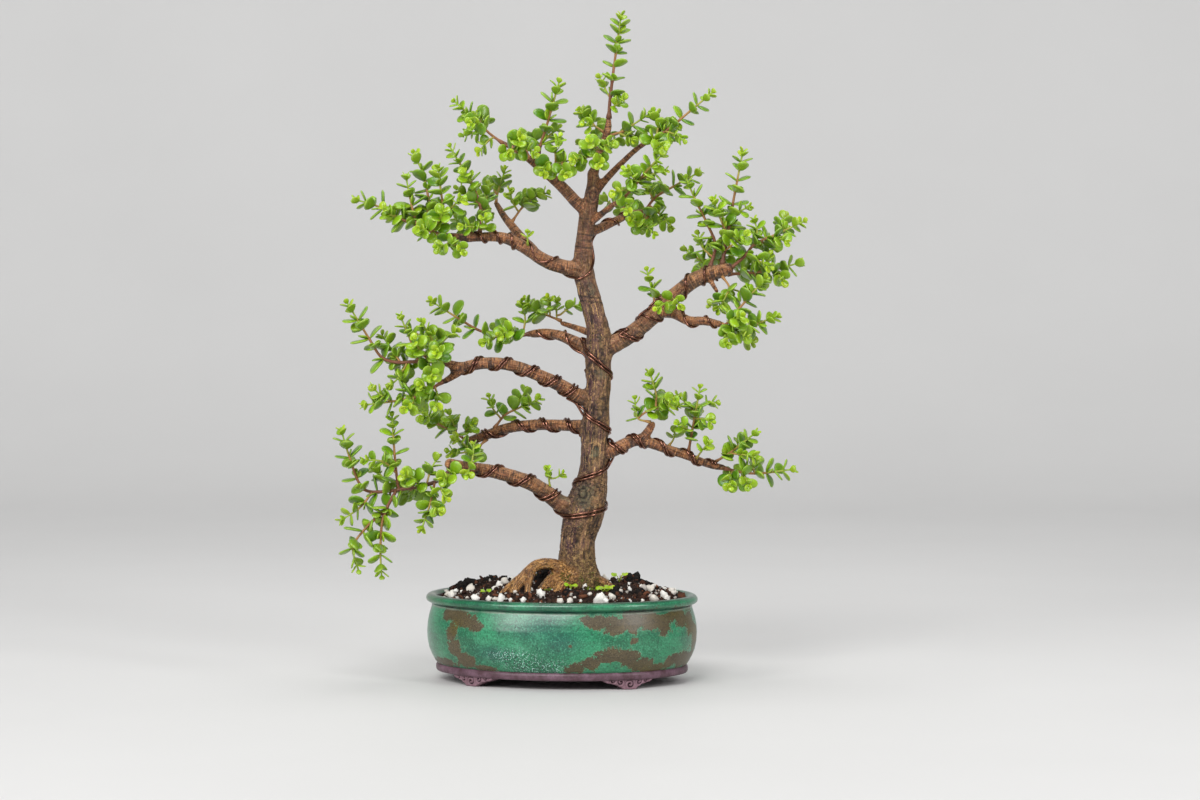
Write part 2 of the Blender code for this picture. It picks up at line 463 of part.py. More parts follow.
        [(86, 3, 273), (86, 5, 288), (80, 7, 308)],
        [(94, 2, 274), (99, -8, 278), (103, -18, 282)],
        [(88, 12, 271), (92, 28, 276), (96, 42, 282)],
    ],
    "low_right_mid": [
        [(100, 17, 235), (104, 26, 240), (106, 38, 248)],
    ],
    "low_right_front": [
        [(127, 10, 222), (132, 0, 230), (138, -8, 238)],
    ],
}

# Leaves stand in pairs, each pair square to the one below it. From a shoot's tip down, these are the
# distances between pairs, the leaves' lengths and their angles from the stem.
PAIR_GAPS = [2.4, 4.6, 7.0, 9.2, 11.0, 12.2, 13.0]
LEAF_LENGTHS = [6.2, 9.4, 12.0, 13.6, 14.4, 14.2]
LEAF_ANGLES = np.radians([22, 36, 48, 56, 61, 65, 68])
FIRST_LEAF_SEED = 100
# How much the leaves differ: least and most, as shares, and spreads in radians.
VIGOURS = (0.9, 1.06)
SHORT_SHOOT = 26.0        # a shoot no longer than this has leaves smaller by this share
SHORT_SHOOT_SHARE = 0.92
GAP_SHARES = (0.85, 1.15)
LENGTH_SHARES = (0.86, 1.1)
PAIR_SPREAD = 0.22
ANGLE_SPREAD = 0.16
TWIST_SPREAD = 0.28
SKYWARD = 0.25            # how far an old leaf's upper side turns to the sky
SKYWARD_AGE = 4           # the pair from which it turns that far
FIRST_PAIR = 0.4          # the youngest pair's distance from the tip
BARE_FOOT = 9.0           # of a spray's first shoot, or this share of it, has no leaves
BARE_SHARE = 0.3
BARE_CROOK = 4.0          # the same of a later shoot
FALLING_FROM = 62.0       # from here on down leaves have fallen, all of them this much farther down
FALLING_OVER = 90.0
# A leaf's outline as shares of its length, along it and across, and its thickness.
LEAF_OUTLINE = [(0, 0), (0.52, 0.42), (0.95, 0.26), (0.95, -0.26), (0.52, -0.42)]
LEAF_BULGE_AT = 0.56
LEAF_THICKNESS = 0.17
LEAF_RIM_SHARE = 0.4      # of its thickness that lies above its foot, at its rim
RIM_WIDENING = 1.3        # its corners move out by this much of a widening, so that its sides do too
LEAF_SHARE = 29.0         # one leaf is kept for this much of a shoot's length
LEAF_ROOT_DEPTH = 0.7     # of its foot under the stem's skin
# A shoot's radius at its tip, how it grows from there down for each millimetre, and the most that it is.
TIP_RADIUS = 0.8
STEM_TAPER = 0.011
STEM_RADIUS = 2.0
CROOK_REACH = 6.0         # a shoot given this near another starts at the other's line
STEM_SIDES = 3
STEM_STEP = 24.0          # between the rings of a stem's tube


def unit(vector):
    return vector / max(np.linalg.norm(vector), 1e-9)


def turned(vector, axis, angle):
    """A vector turned about a unit axis by an angle in radians."""
    return (vector * np.cos(angle) + np.cross(axis, vector) * np.sin(angle)
            + axis * axis.dot(vector) * (1 - np.cos(angle)))


def smooth_route(points, step):
    """Points about `step` apart on a Catmull-Rom curve through the route's own points."""
    points = np.asarray(points, float)
    ends = np.vstack([2 * points[0] - points[1], points, 2 * points[-1] - points[-2]])
    line = [points[0]]
    for i in range(1, len(ends) - 2):
        before, start, end, after = ends[i - 1:i + 3]
        count = max(1, int(round(np.linalg.norm((end - start)[:3]) / step)))
        for t in np.arange(1, count + 1) / count:
            line.append(0.5 * (2 * start + (end - before) * t
                               + (2 * before - 5 * start + 4 * end - after) * t ** 2
                               + (3 * start - before - 3 * end + after) * t ** 3))
    return np.array(line)


def look(name, colour, roughness, metallic=0.0):
    """A Principled material of one colour."""
    material = bpy.data.materials.new(name)
    material.use_nodes = True
    shader = material.node_tree.nodes["Principled BSDF"]
    shader.inputs["Base Color"].default_value = (*colour, 1)
    shader.inputs["Roughness"].default_value = roughness
    shader.inputs["Metallic"].default_value = metallic
    return material


def new_object(name, shape, material=None):
    """An object from corners in millimetres and faces."""
    corners, faces = shape
    mesh = bpy.data.meshes.new(name)
    mesh.from_pydata((np.asarray(corners) * MM).tolist(), [], faces)
    if material:
        mesh.materials.append(material)
    return bpy.data.objects.new(name, mesh)


def combine(body, shapes, operation, solver="EXACT"):
    """Join closed shapes to a body, or cut them from it, in one Boolean that is then applied."""
    operands = bpy.data.collections.new(body.name + " operands")
    bpy.context.scene.collection.children.link(operands)
    for shape in shapes:
        operands.objects.link(new_object("operand", shape))
    modifier = body.modifiers.new("combine", "BOOLEAN")
    modifier.operation = operation
    modifier.solver = solver
    modifier.operand_type = "COLLECTION"
    modifier.collection = operands
    bpy.context.view_layer.update()
    evaluated = body.evaluated_get(bpy.context.evaluated_depsgraph_get())
    body.data = bpy.data.meshes.new_from_object(evaluated)
    body.modifiers.clear()
    for operand in list(operands.objects):
        bpy.data.objects.remove(operand)
    bpy.data.collections.remove(operands)


def drop_scraps(body, splitting="BEAUTY"):
    """Keep only the largest body of a mesh, and split its faces into triangles."""
    mesh = bmesh.new()
    mesh.from_mesh(body.data)
    bmesh.ops.triangulate(mesh, faces=mesh.faces[:], ngon_method=splitting)
    left = set(mesh.faces)
    bodies = []
    while left:
        found = {left.pop()}
        front = list(found)
        while front:
            for edge in front.pop().edges:
                beside = [face for face in edge.link_faces if face in left]
                left.difference_update(beside)
                found.update(beside)
                front += beside
        bodies.append(found)
    bodies.sort(key=len)
    for found in bodies[:-1]:
        bmesh.ops.delete(mesh, geom=list(found), context="FACES")
    mesh.to_mesh(body.data)
    mesh.free()


def closed(mesh):
    """Whether every edge of a mesh joins two faces."""
    counts = np.bincount([loop.edge_index for loop in mesh.loops], minlength=len(mesh.edges))
    return bool((counts == 2).all())


def fuse(name, shapes, material):
    """One closed body of several closed shapes that overlap, or of fewer where all of them wouldn't close."""
    body = new_object(name, shapes[0], material)
    bpy.context.scene.collection.objects.link(body)
    first = body.data
    while len(shapes) > 1:
        for solver, splitting in FUSING_WAYS:
            body.data = first.copy()
            combine(body, shapes[1:], "UNION", solver)
            drop_scraps(body, splitting)
            if closed(body.data):
                return body
        shapes = shapes[:-1]
    return body


def tube(line, radii, sides, foot_normal=None):
    """A closed tube along a line, whose first ring may lie square to a given direction."""
    line = np.asarray(line, float)
    tangents = np.gradient(line, axis=0)
    if foot_normal is not None:
        tangents[0] = foot_normal
    normal = np.cross(tangents[0], (0, 1, 0.01))
    corners = []
    for centre, tangent, radius in zip(line, tangents, radii):
        tangent = unit(tangent)
        normal = unit(normal - tangent * tangent.dot(normal))
        across = np.cross(tangent, normal)
        for angle in 2 * np.pi * np.arange(sides) / sides:
            corners.append(centre + radius * (np.cos(angle) * normal + np.sin(angle) * across))
    faces = bands(len(line), sides)
    return np.array(corners), faces


def bands(rings, sides):
    """Faces that join rings of corners in order, with the first and last rings filled."""
    faces = [list(range(sides))[::-1]]
    for ring in range(rings - 1):
        for side in range(sides):
            after = (side + 1) % sides
            faces.append([ring * sides + side, ring * sides + after,
                          (ring + 1) * sides + after, (ring + 1) * sides + side])
    faces.append([(rings - 1) * sides + side for side in range(sides)])
    return faces


def turned_with_pot(x, y, z):
    """A place given from the pot's middle, turned and moved with the pot."""
    return (POT_CENTRE_X + x * np.cos(POT_TURN) - y * np.sin(POT_TURN),
            x * np.sin(POT_TURN) + y * np.cos(POT_TURN), z)


def oval_ring(half_width, height, share=1.0):
    """One ring of an oval of corners, or the same ring drawn in to a share of its size."""
    return [turned_with_pot(share * half_width * np.cos(angle),
                            share * (half_width - OVAL_DIFFERENCE) * np.sin(angle), height)
            for angle in 2 * np.pi * np.arange(POT_SEGMENTS) / POT_SEGMENTS]


def inside_half_width(height):
    widths, heights = np.array(POT_INSIDE).T
    return np.interp(height, heights[::-1], widths[::-1])


def soil_height(x, y):
    """The soil's height: a mound from the wall to the middle, with a few broad lumps."""
    east = (x - POT_CENTRE_X) * np.cos(-POT_TURN) - y * np.sin(-POT_TURN)
    north = (x - POT_CENTRE_X) * np.sin(-POT_TURN) + y * np.cos(-POT_TURN)
    half_width = inside_half_width(SOIL_EDGE)
    out = min(1.0, (east / half_width) ** 2 + (north / (half_width - OVAL_DIFFERENCE)) ** 2)
    height = SOIL_EDGE + SOIL_MOUND * (1 - out)
    for lump_x, lump_y, radius, rise in SOIL_LUMPS:
        away = ((x - lump_x) ** 2 + (y - lump_y) ** 2) / radius ** 2
        height += rise * np.exp(-away) * (1 - out ** 4)
    return height


def foot_shape(middle_angle):
    """A scroll foot that follows the oval under the base band."""
    half_depth = FOOT_HALF_WIDTH - OVAL_DIFFERENCE
    speed = np.hypot(FOOT_HALF_WIDTH * np.sin(middle_angle), half_depth * np.cos(middle_angle))
    top = POT_UNDERSIDE + FOOT_OVERLAP
    rings = []
    for along, low in FOOT_OUTLINE:
        angle = middle_angle + along / speed
        for depth, height in ((0, low), (0, top), (FOOT_DEPTH, top), (FOOT_DEPTH, low)):
            rings.append(turned_with_pot((FOOT_HALF_WIDTH - depth) * np.cos(angle),
                                         (half_depth - depth) * np.sin(angle), height))
    return np.array(rings), [face[::-1] for face in bands(len(FOOT_OUTLINE), 4)]


def make_pot(material):
    profile = POT_OUTSIDE + POT_INSIDE
    corners = [corner for half_width, height in profile for corner in oval_ring(half_width, height)]
    shell = (corners, bands(len(profile), POT_SEGMENTS))
    pot = fuse("pot", [shell] + [foot_shape(angle) for angle in FOOT_ANGLES], material)
    holes = []
    for side in (-1, 1):
        middle = np.array(turned_with_pot(side * DRAIN_X, 0, 0))
        line = middle + np.outer((POT_UNDERSIDE - CUT_THROUGH, POT_FLOOR + CUT_THROUGH), (0, 0, 1))
        holes.append(tube(line, (DRAIN_RADIUS, DRAIN_RADIUS), DRAIN_SIDES))
    combine(pot, holes, "DIFFERENCE")
    drop_scraps(pot)


def make_screen(name, side, material):
    """A square of plastic mesh over a drain hole."""
    solid_cells = [(i, j) for i in range(SCREEN_CELLS) for j in range(SCREEN_CELLS) if not (i % 2 and j % 2)]
    cell = SCREEN_SIZE / SCREEN_CELLS
    low = POT_FLOOR + CLEARANCE
    count = SCREEN_CELLS + 1
    half = SCREEN_SIZE / 2
    corners = [turned_with_pot(side * DRAIN_X + i * cell - half, j * cell - half, z)
               for z in (low, low + SCREEN_THICKNESS) for i in range(count) for j in range(count)]
    upper = count * count
    faces = []
    for i, j in solid_cells:
        ring = [(i, j), (i + 1, j), (i + 1, j + 1), (i, j + 1)]
        low_ring = [a * count + b for a, b in ring]
        faces.append([corner + upper for corner in low_ring])
        faces.append(low_ring[::-1])
        for side_number, beside in enumerate([(i, j - 1), (i + 1, j), (i, j + 1), (i - 1, j)]):
            if beside not in solid_cells:
                start = low_ring[side_number]
                end = low_ring[(side_number + 1) % 4]
                faces.append([start, end, end + upper, start + upper])
    bpy.context.scene.collection.objects.link(new_object(name, (corners, faces), material))


def grain_shape(x, y, radius, draw):
    """A small uneven stone that lies half sunk in the soil."""
    directions = np.array([(1, 0, 0), (0, 1, 0), (-1, 0, 0), (0, -1, 0), (0, 0, 1), (0, 0, -1)], float)
    corners = directions * radius * draw.uniform(*GRAIN_SHARES, (len(directions), 1))
    turn = draw.uniform(0, np.pi)
    corners = np.array([turned(corner, np.array((0, 0, 1.0)), turn) for corner in corners])
    corners += (x, y, soil_height(x, y) + GRAIN_RISE * radius)
    faces = [[0, 1, 4], [1, 2, 4], [2, 3, 4], [3, 0, 4], [1, 0, 5], [2, 1, 5], [3, 2, 5], [0, 3, 5]]
    return corners, faces


def make_soil(material):
    """The soil with its grains, and holes for the trunk and the roots."""
    draw = np.random.default_rng(SOIL_SEED)
    corners = [corner for height in SOIL_WALL_HEIGHTS
               for corner in oval_ring(inside_half_width(height) - CLEARANCE, height)]
    top_half_width = inside_half_width(SOIL_EDGE) - CLEARANCE
    for share in SOIL_RINGS[::-1]:
        corners += [(x, y, soil_height(x, y)) for x, y, _ in oval_ring(top_half_width, 0, share)]
    faces = bands(len(SOIL_WALL_HEIGHTS) + len(SOIL_RINGS), POT_SEGMENTS)
    shapes = [(corners, faces)] + [grain_shape(*grain, draw) for grain in GRAINS]
    soil = fuse("soil", shapes, material)
    buried = [TRUNK] + list(ROOTS.values())
    combine(soil, [wood_tube(route, HOLE_CLEARANCE) for route in buried], "DIFFERENCE")
    drop_scraps(soil)


def wood_tube(route, wider=0.0):
    """The tube of one limb, root or trunk, or a wider one that cuts a hole for it."""
    route = np.array(route, float)
    is_trunk = len(route) == len(TRUNK)
    sides = TRUNK_SIDES if is_trunk else THICK_SIDES if route[0, 3] > THICK_RADIUS else THIN_SIDES
    if wider:
        route[-1, :3] += unit(route[-1, :3] - route[-2, :3]) * wider
        if is_trunk:
            route[0, 2] -= wider
    return tube(route[:, :3], route[:, 3] + wider / np.cos(np.pi / sides), sides)


class Field:
    """Distance to a growing set of tapered round-ended rods."""

    def __init__(self):
        self.rods = np.zeros((0, 8))

    def add(self, line, radii):
        line = np.asarray(line, float)
        radii = np.asarray(radii, float)
        rods = np.hstack([line[:-1], line[1:], radii[:-1, None], radii[1:, None]])
        self.rods = np.vstack([self.rods, rods])

    def around(self, places, reach):
        """The part of the field that lies within reach of any of the places."""
        part = Field()
        if len(self.rods):
            middles = (self.rods[:, :3] + self.rods[:, 3:6]) / 2
            away = np.linalg.norm(middles[:, None] - places, axis=2).min(1)
            part.rods = self.rods[away < reach]
        return part

    def nearest(self, places):
        """Distance of each place from the nearest rod, and the way straight off it."""
        start, end = self.rods[:, :3], self.rods[:, 3:6]
        along = end - start
        offset = places[:, None] - start
        share = np.clip((offset * along).sum(2) / (along * along).sum(1), 0, 1)
        away = offset - share[..., None] * along
        length = np.linalg.norm(away, axis=2)
        gap = length - (self.rods[:, 6] + share * (self.rods[:, 7] - self.rods[:, 6]))
        best = gap.argmin(1)
        rows = np.arange(len(places))
        return gap[rows, best], away[rows, best] / np.maximum(length[rows, best], 1e-6)[:, None]


def wound_points(stretch, beside):
    """A strand's points along one stretch, or those of a strand beside it, always on the same side of it."""
    limb, knots = stretch
    route = smooth_route(TRUNK if limb == "trunk" else LIMBS[limb], ROUTE_STEP)
    knots = np.array(knots, float)
    angles, places = knots.T if limb == "trunk" else knots.T[::-1]
    places = places - beside * np.sign(angles[-1] - angles[-2])
    counts = np.maximum(1, np.ceil(np.abs(np.diff(angles)) / WIRE_STEP)).astype(int)
    knot_shares = [k + i / count for k, count in enumerate(counts) for i in range(count)] + [len(counts)]
    angles = np.radians(np.interp(knot_shares, range(len(knots)), angles))
    places = np.interp(knot_shares, range(len(knots)), places)
    key = 2 if limb == "trunk" else 0
    route = route[route[:, key].argsort()]
    points = []
    for angle, place in zip(angles, places):
        x, y, z, radius = (np.interp(place, route[:, key], route[:, k]) for k in range(4))
        radius += CLEARANCE + WIRE_RADIUS
        if limb == "trunk":
            points.append((x + radius * np.cos(angle), y + radius * np.sin(angle), z))
            continue
        ahead_point = [np.interp(place + NEAR, route[:, 0], route[:, k]) for k in range(3)]
        behind_point = [np.interp(place - NEAR, route[:, 0], route[:, k]) for k in range(3)]
        tangent = unit(np.subtract(ahead_point, behind_point))
        up = unit(np.array((0, 0, 1.0)) - tangent * tangent[2])
        front = np.cross(tangent, up)
        points.append(np.array((x, y, z)) + radius * (np.cos(angle) * up + np.sin(angle) * front))
    return points


def settled(points, wood, strands):
    """A strand's points moved until it lies clear on the wood, round shoots and over other strands."""
    points = np.array(points, float)
    shares = np.arange(WIRE_SAMPLES)[:, None, None] / WIRE_SAMPLES
    needed = WIRE_RADIUS + CLEARANCE
    wood = wood.around(points, WIRE_REACH)
    strands = strands.around(points, WIRE_REACH)
    for turn in range(SETTLING_TURNS):
        if turn < SMOOTHING_TURNS:
            points[1:-1] += WIRE_STRAIGHTENING * (points[:-2] + points[2:] - 2 * points[1:-1])
        for field, gap_needed in ((strands, needed + STRAND_CLEARANCE), (wood, needed)):
            if not len(field.rods):
                continue
            samples = ((1 - shares) * points[:-1] + shares * points[1:]).reshape(-1, 3)
            gap, way = field.nearest(samples)
            push = (np.maximum(gap_needed - gap, 0)[:, None] * way).reshape(WIRE_SAMPLES, -1, 3)
            for share, row in zip(shares.ravel(), push):
                points[:-1] += WIRE_YIELD * (1 - share) * row
                points[1:] += WIRE_YIELD * share * row
    return points


def make_wires(wood, material):
    """Every strand in turn, and their corners and faces to keep the leaves clear of."""
    strands = Field()
    shapes = []
    for name, (stretches, beside) in WIRES.items():
        points = [point for stretch in stretches for point in wound_points(stretch, beside)]
        points = settled(points, wood, strands)
        radii = np.full(len(points), WIRE_RADIUS)
        strands.add(points, radii)
        shape = tube(points, radii, WIRE_SIDES)
        fuse(name, [shape], material)
        shapes.append(shape)
    return shapes


class Shoot:
    """One shoot of a spray, along its line from foot to tip."""

    def __init__(self, line):
        self.line = line
        self.along = np.concatenate([[0], np.cumsum(np.linalg.norm(np.diff(line, axis=0), axis=1))])
        self.length = self.along[-1]

    def point(self, distance):
        return np.array([np.interp(distance, self.along, self.line[:, k]) for k in range(3)])

    def at(self, from_tip):
        distance = self.length - from_tip
        return self.point(distance), unit(self.point(distance + NEAR) - self.point(distance - NEAR))

    def radius(self, from_tip):
        return min(TIP_RADIUS + STEM_TAPER * from_tip, STEM_RADIUS)


def spray_shoots(routes):
    """A spray's shoots, with the foot of each later one on the nearest stem before it."""
    shoots = []
    for route in routes:
        line = smooth_route(route, ROUTE_STEP)
        if shoots:
            before = np.vstack([shoot.line for shoot in shoots])
            away = np.linalg.norm(before - line[0], axis=1)
            near = before[away.argmin()]
            line = np.vstack([near, line[1:] if away.min() < CROOK_REACH else line])
        shoots.append(Shoot(line))
    return shoots


def leaf_places(shoots, seed):
    """Each leaf of a spray as (foot, way, upper side, length, age, shoot number, distance from the tip)."""
    draw = np.random.default_rng(seed)
    leaves = []
    for number, shoot in enumerate(shoots):
        vigour = draw.uniform(*VIGOURS) * (1.0 if shoot.length > SHORT_SHOOT else SHORT_SHOOT_SHARE)
        spin = draw.uniform(0, np.pi)
        from_tip = FIRST_PAIR
        age = 0
        bare = min(BARE_FOOT, BARE_SHARE * shoot.length) if number == 0 else BARE_CROOK
        while from_tip < shoot.length - bare:
            foot, tangent = shoot.at(from_tip)
            side = unit(np.cross(tangent, (0, 0, 1) if abs(tangent[2]) < 0.95 else (1, 0, 0)))
            around = turned(side, tangent, spin + age * np.pi / 2 + draw.uniform(-PAIR_SPREAD, PAIR_SPREAD))
            fallen = max(0.0, from_tip - FALLING_FROM) / FALLING_OVER
            for outward in (around, -around):
                if draw.random() < fallen:
                    continue
                angle = LEAF_ANGLES[min(age, len(LEAF_ANGLES) - 1)]
                angle = angle + draw.uniform(-ANGLE_SPREAD, ANGLE_SPREAD)
                way = np.cos(angle) * tangent + np.sin(angle) * outward
                upper = np.sin(angle) * tangent - np.cos(angle) * outward
                upper = upper + SKYWARD * min(age / SKYWARD_AGE, 1) * np.array((0, 0, 1.0))
                upper = unit(upper - way * way.dot(upper))
                upper = turned(upper, way, draw.normal(0, TWIST_SPREAD))
                length = LEAF_LENGTHS[min(age, len(LEAF_LENGTHS) - 1)] * vigour * draw.uniform(*LENGTH_SHARES)
                leaves.append((foot, way, upper, length, age, number, from_tip))
            from_tip += PAIR_GAPS[min(age, len(PAIR_GAPS) - 1)] * draw.uniform(*GAP_SHARES)
            age += 1
    return leaves


def leaf_shape(leaf, wider=0.0):
    """A thick leaf with a five-cornered outline and a full back, or a wider one that keeps others clear."""
    foot, way, upper, length = leaf[:4]
    across = np.cross(way, upper)
    shares = np.array(LEAF_OUTLINE)
    rim = foot + length * (shares[:, :1] * way + shares[:, 1:] * across)
    rim = rim + LEAF_RIM_SHARE * LEAF_THICKNESS * length * upper
    middle = foot + LEAF_BULGE_AT * length * way
    if wider:
        outward = rim - middle
        rim = rim + RIM_WIDENING * wider * outward / np.linalg.norm(outward, axis=1)[:, None] + wider * upper
    bulge = middle - ((1 - LEAF_RIM_SHARE) * LEAF_THICKNESS * length + wider) * upper
    return np.vstack([rim, bulge]), [[0, 1, 2, 3, 4]] + [[(k + 1) % 5, k, 5] for k in range(5)]


def kept_leaves(shoots, axes, stems, leaves, blocked):
    """Leaves spread evenly over each shoot, clear of all else, each rooted just under its stem's skin."""
    skin = BVHTree.FromPolygons(*joined(stems))
    kept = []
    for number, (shoot, axis) in enumerate(zip(shoots, axes)):
        candidates = [leaf for leaf in leaves if leaf[5] == number and leaf[4] > 0]
        wanted = max(1, int(round(shoot.length / LEAF_SHARE)))
        picks = np.linspace(0, len(candidates) - 1, min(wanted, len(candidates))).round().astype(int)
        used = set()
        for pick in picks:
            for index in (pick, pick + 1, pick - 1):
                if 0 <= index < len(candidates) and index not in used:
                    used.add(index)
                    _, way, upper, length, _, _, from_tip = candidates[index]
                    foot = axis.point((shoot.length - from_tip) * axis.length / shoot.length)
                    out = skin.ray_cast(Vector(foot), Vector(way))[3] or 0.0
                    leaf = (foot + max(0.0, out - LEAF_ROOT_DEPTH) * way, way, upper, length)
                    if not blocked(leaf):
                        kept.append(leaf)
                        break
    return kept


def joined(shapes):
    """The corners and triangles of several shapes as one pair of lists."""
    corners = []
    faces = []
    for shape in shapes:
        faces += [tuple(corner + len(corners) for corner in face) for face in triangles(shape[1])]
        corners += [tuple(corner) for corner in shape[0]]
    return corners, faces


def triangles(faces):
    return [(face[0], face[k], face[k + 1]) for face in faces for k in range(1, len(face) - 1)]


class Neighbours:
    """What the leaves keep clear of: fixed pieces, the stems of other sprays, and leaves already kept."""

    def __init__(self, owned_shapes):
        self.owners = [owner for owner, shape in owned_shapes for _ in triangles(shape[1])]
        self.tree = BVHTree.FromPolygons(*joined([shape for _, shape in owned_shapes]))
        self.leaves = []

    def blocks(self, spray, leaf):
        corners, faces = leaf_shape(leaf, CLEARANCE)
        candidate = BVHTree.FromPolygons(corners.tolist(), triangles(faces))
        if any(self.owners[hit] != spray for hit, _ in self.tree.overlap(candidate)):
            return True
        middle = corners.mean(0)
        near = [shape for centre, reach, shape in self.leaves
                if np.linalg.norm(centre - middle) < reach + leaf[3]]
        for other_corners, other_faces in near:
            if candidate.overlap(BVHTree.FromPolygons(other_corners.tolist(), triangles(other_faces))):
                return True
        self.leaves.append((middle, leaf[3], leaf_shape(leaf)))
        return False


def nearest_on(line, place):
    """The nearest place on a line of straight stretches."""
    start = line[:-1]
    along = np.diff(line, axis=0)
    share = np.clip(((place - start) * along).sum(1) / (along * along).sum(1), 0, 1)
    places = start + share[:, None] * along
    return places[np.linalg.norm(places - place, axis=1).argmin()]


def stem_axes(shoots, wood):
    """The straight stretches of a spray's stems, and the wood's own direction under the first one's foot."""
    axes = []
    for shoot in shoots:
        count = max(1, int(round(shoot.length / STEM_STEP)))
        points = np.array([shoot.point(distance) for distance in np.linspace(0, shoot.length, count + 1)])
        if axes:
            starts = [nearest_on(axis.line, points[0]) for axis in axes]
            points[0] = min(starts, key=lambda start: np.linalg.norm(start - points[0]))
        else:
            place, normal, _, _ = wood.find_nearest(Vector(points[0]))
            points[0] = np.array(place) + CLEARANCE * np.array(normal)
        axes.append(Shoot(points))
    return axes, np.array(normal)


def stem_shapes(shoots, axes, normal):
    """The tubes of a spray's stems, the first with its foot flat to the wood."""
    shapes = []
    for shoot, axis in zip(shoots, axes):
        radii = [shoot.radius(axis.length - along) for along in axis.along]
        shapes.append(tube(axis.line, radii, STEM_SIDES, None if shapes else normal))
    return shapes


def main():
    for thing in list(bpy.data.objects):
        bpy.data.objects.remove(thing)
    make_pot(look("glazed stoneware", (0.04, 0.27, 0.13), 0.25))
    plastic = look("black plastic mesh", (0.02, 0.02, 0.02), 0.6)
    make_screen("drainage_screen_left", -1, plastic)
    make_screen("drainage_screen_right", 1, plastic)
    make_soil(look("potting mix", (0.05, 0.035, 0.025), 0.95))

    routes = [TRUNK] + list(LIMBS.values()) + list(ROOTS.values())
    wood = fuse("tree_wood", [wood_tube(route) for route in routes], look("bark", (0.2, 0.11, 0.07), 0.8))
    wood_corners = [tuple(corner.co / MM) for corner in wood.data.vertices]
    wood_faces = [list(face.vertices) for face in wood.data.polygons]
    wood_tree = BVHTree.FromPolygons(wood_corners, wood_faces)

    sprays = {name: spray_shoots(table) for name, table in SPRAYS.items()}
    axes = {}
    stems = {}
    for name, shoots in sprays.items():
        axes[name], normal = stem_axes(shoots, wood_tree)
        stems[name] = stem_shapes(shoots, axes[name], normal)

    field = Field()
    for route in routes:
        line = smooth_route(route, ROUTE_STEP)
        field.add(line[:, :3], line[:, 3])
    for name, shoots in sprays.items():
        axis = axes[name][0]
        field.add(axis.line, [shoots[0].radius(axis.length - along) for along in axis.along])
    wires = make_wires(field, look("copper-coloured wire", (0.2, 0.09, 0.06), 0.35, 0.9))

    fixed = [(None, (wood_corners, wood_faces))] + [(None, wire) for wire in wires]
    neighbours = Neighbours(fixed + [(name, shape) for name, shapes in stems.items() for shape in shapes])
    green = look("leaf", (0.16, 0.42, 0.04), 0.4)
    for number, (name, shoots) in enumerate(sprays.items()):
        leaves = leaf_places(shoots, FIRST_LEAF_SEED + number)
        kept = kept_leaves(shoots, axes[name], stems[name], leaves,
                           lambda leaf: neighbours.blocks(name, leaf))
        fuse("spray_" + name, stems[name] + [leaf_shape(leaf) for leaf in kept], green)


main()
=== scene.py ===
"""The looks of a potted dwarf jade: bark, leaves, wire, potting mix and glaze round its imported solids.

Lengths are in millimetres until a mesh is made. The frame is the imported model's: +Z up, the front at -Y.
"""

import bpy
import numpy as np
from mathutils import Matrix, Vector
from mathutils.bvhtree import BVHTree


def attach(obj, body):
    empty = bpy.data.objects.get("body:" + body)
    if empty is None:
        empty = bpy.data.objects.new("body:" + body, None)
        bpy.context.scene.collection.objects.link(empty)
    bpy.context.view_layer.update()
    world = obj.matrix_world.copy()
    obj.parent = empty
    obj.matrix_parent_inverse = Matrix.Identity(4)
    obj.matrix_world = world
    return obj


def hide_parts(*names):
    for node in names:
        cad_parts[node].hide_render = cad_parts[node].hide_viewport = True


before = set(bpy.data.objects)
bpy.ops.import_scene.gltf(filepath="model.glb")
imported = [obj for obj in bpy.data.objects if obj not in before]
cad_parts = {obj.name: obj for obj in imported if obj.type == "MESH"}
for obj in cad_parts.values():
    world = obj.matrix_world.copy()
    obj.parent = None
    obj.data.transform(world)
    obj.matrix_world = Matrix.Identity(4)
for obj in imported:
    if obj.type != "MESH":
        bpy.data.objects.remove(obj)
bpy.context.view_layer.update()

MM = 0.001

# The pot is an oval, 274 by 200 mm over its lip, and stands a little turned.
POT_CENTRE_X = -8.5
POT_TURN = np.radians(-9)
OVAL_DIFFERENCE = 37.0    # its half-width less its half-depth, at every height
POT_SEGMENTS = 240
POT_UNDERSIDE = 9.0
POT_FLOOR = 17.0
POT_HALF_WIDTH = 136      # of the oval that bearings round the pot are taken on
# Half-width and height up the outside: the underside, the unglazed band, the belly, the neck and the lip.
POT_OUTSIDE = [(0, 9), (60, 9), (112, 9), (121, 9), (123.4, 9.2), (126.2, 9.8), (127.1, 11), (127.4, 13),
               (127.2, 15.2), (126.4, 16.4), (125.6, 17), (126.6, 18), (128.4, 20.4), (131.4, 26),
               (134.2, 33), (135.8, 41), (136.3, 50), (135.7, 58), (134.3, 65), (132.7, 70.6), (131.5, 74.2),
               (131, 75.6), (131.5, 76.4), (131.1, 77.2), (132.3, 78), (134.9, 78.9), (136.6, 80.4),
               (137, 82.2), (136.6, 84.2), (135.2, 85.9), (133, 86.9)]
# The same down the inside, from the lip's top to the floor.
POT_INSIDE = [(130.6, 86.8), (128.6, 86), (127, 84), (126, 81), (125.6, 76), (125.9, 60), (126, 40),
              (124, 26), (119, 18.5), (115, 17.1), (60, 17), (0, 17)]
PROFILE_STEP = 1.6        # between the rings of the pot's fine surface
FOOT_ANGLES = np.radians([50.3, 129.7, 230.3, 309.7])
FOOT_HALF_WIDTH = 124.0   # of the oval that the feet's fronts follow
FOOT_DEPTH = 11.0
FOOT_STATIONS = 96
FOOT_ROWS = 20
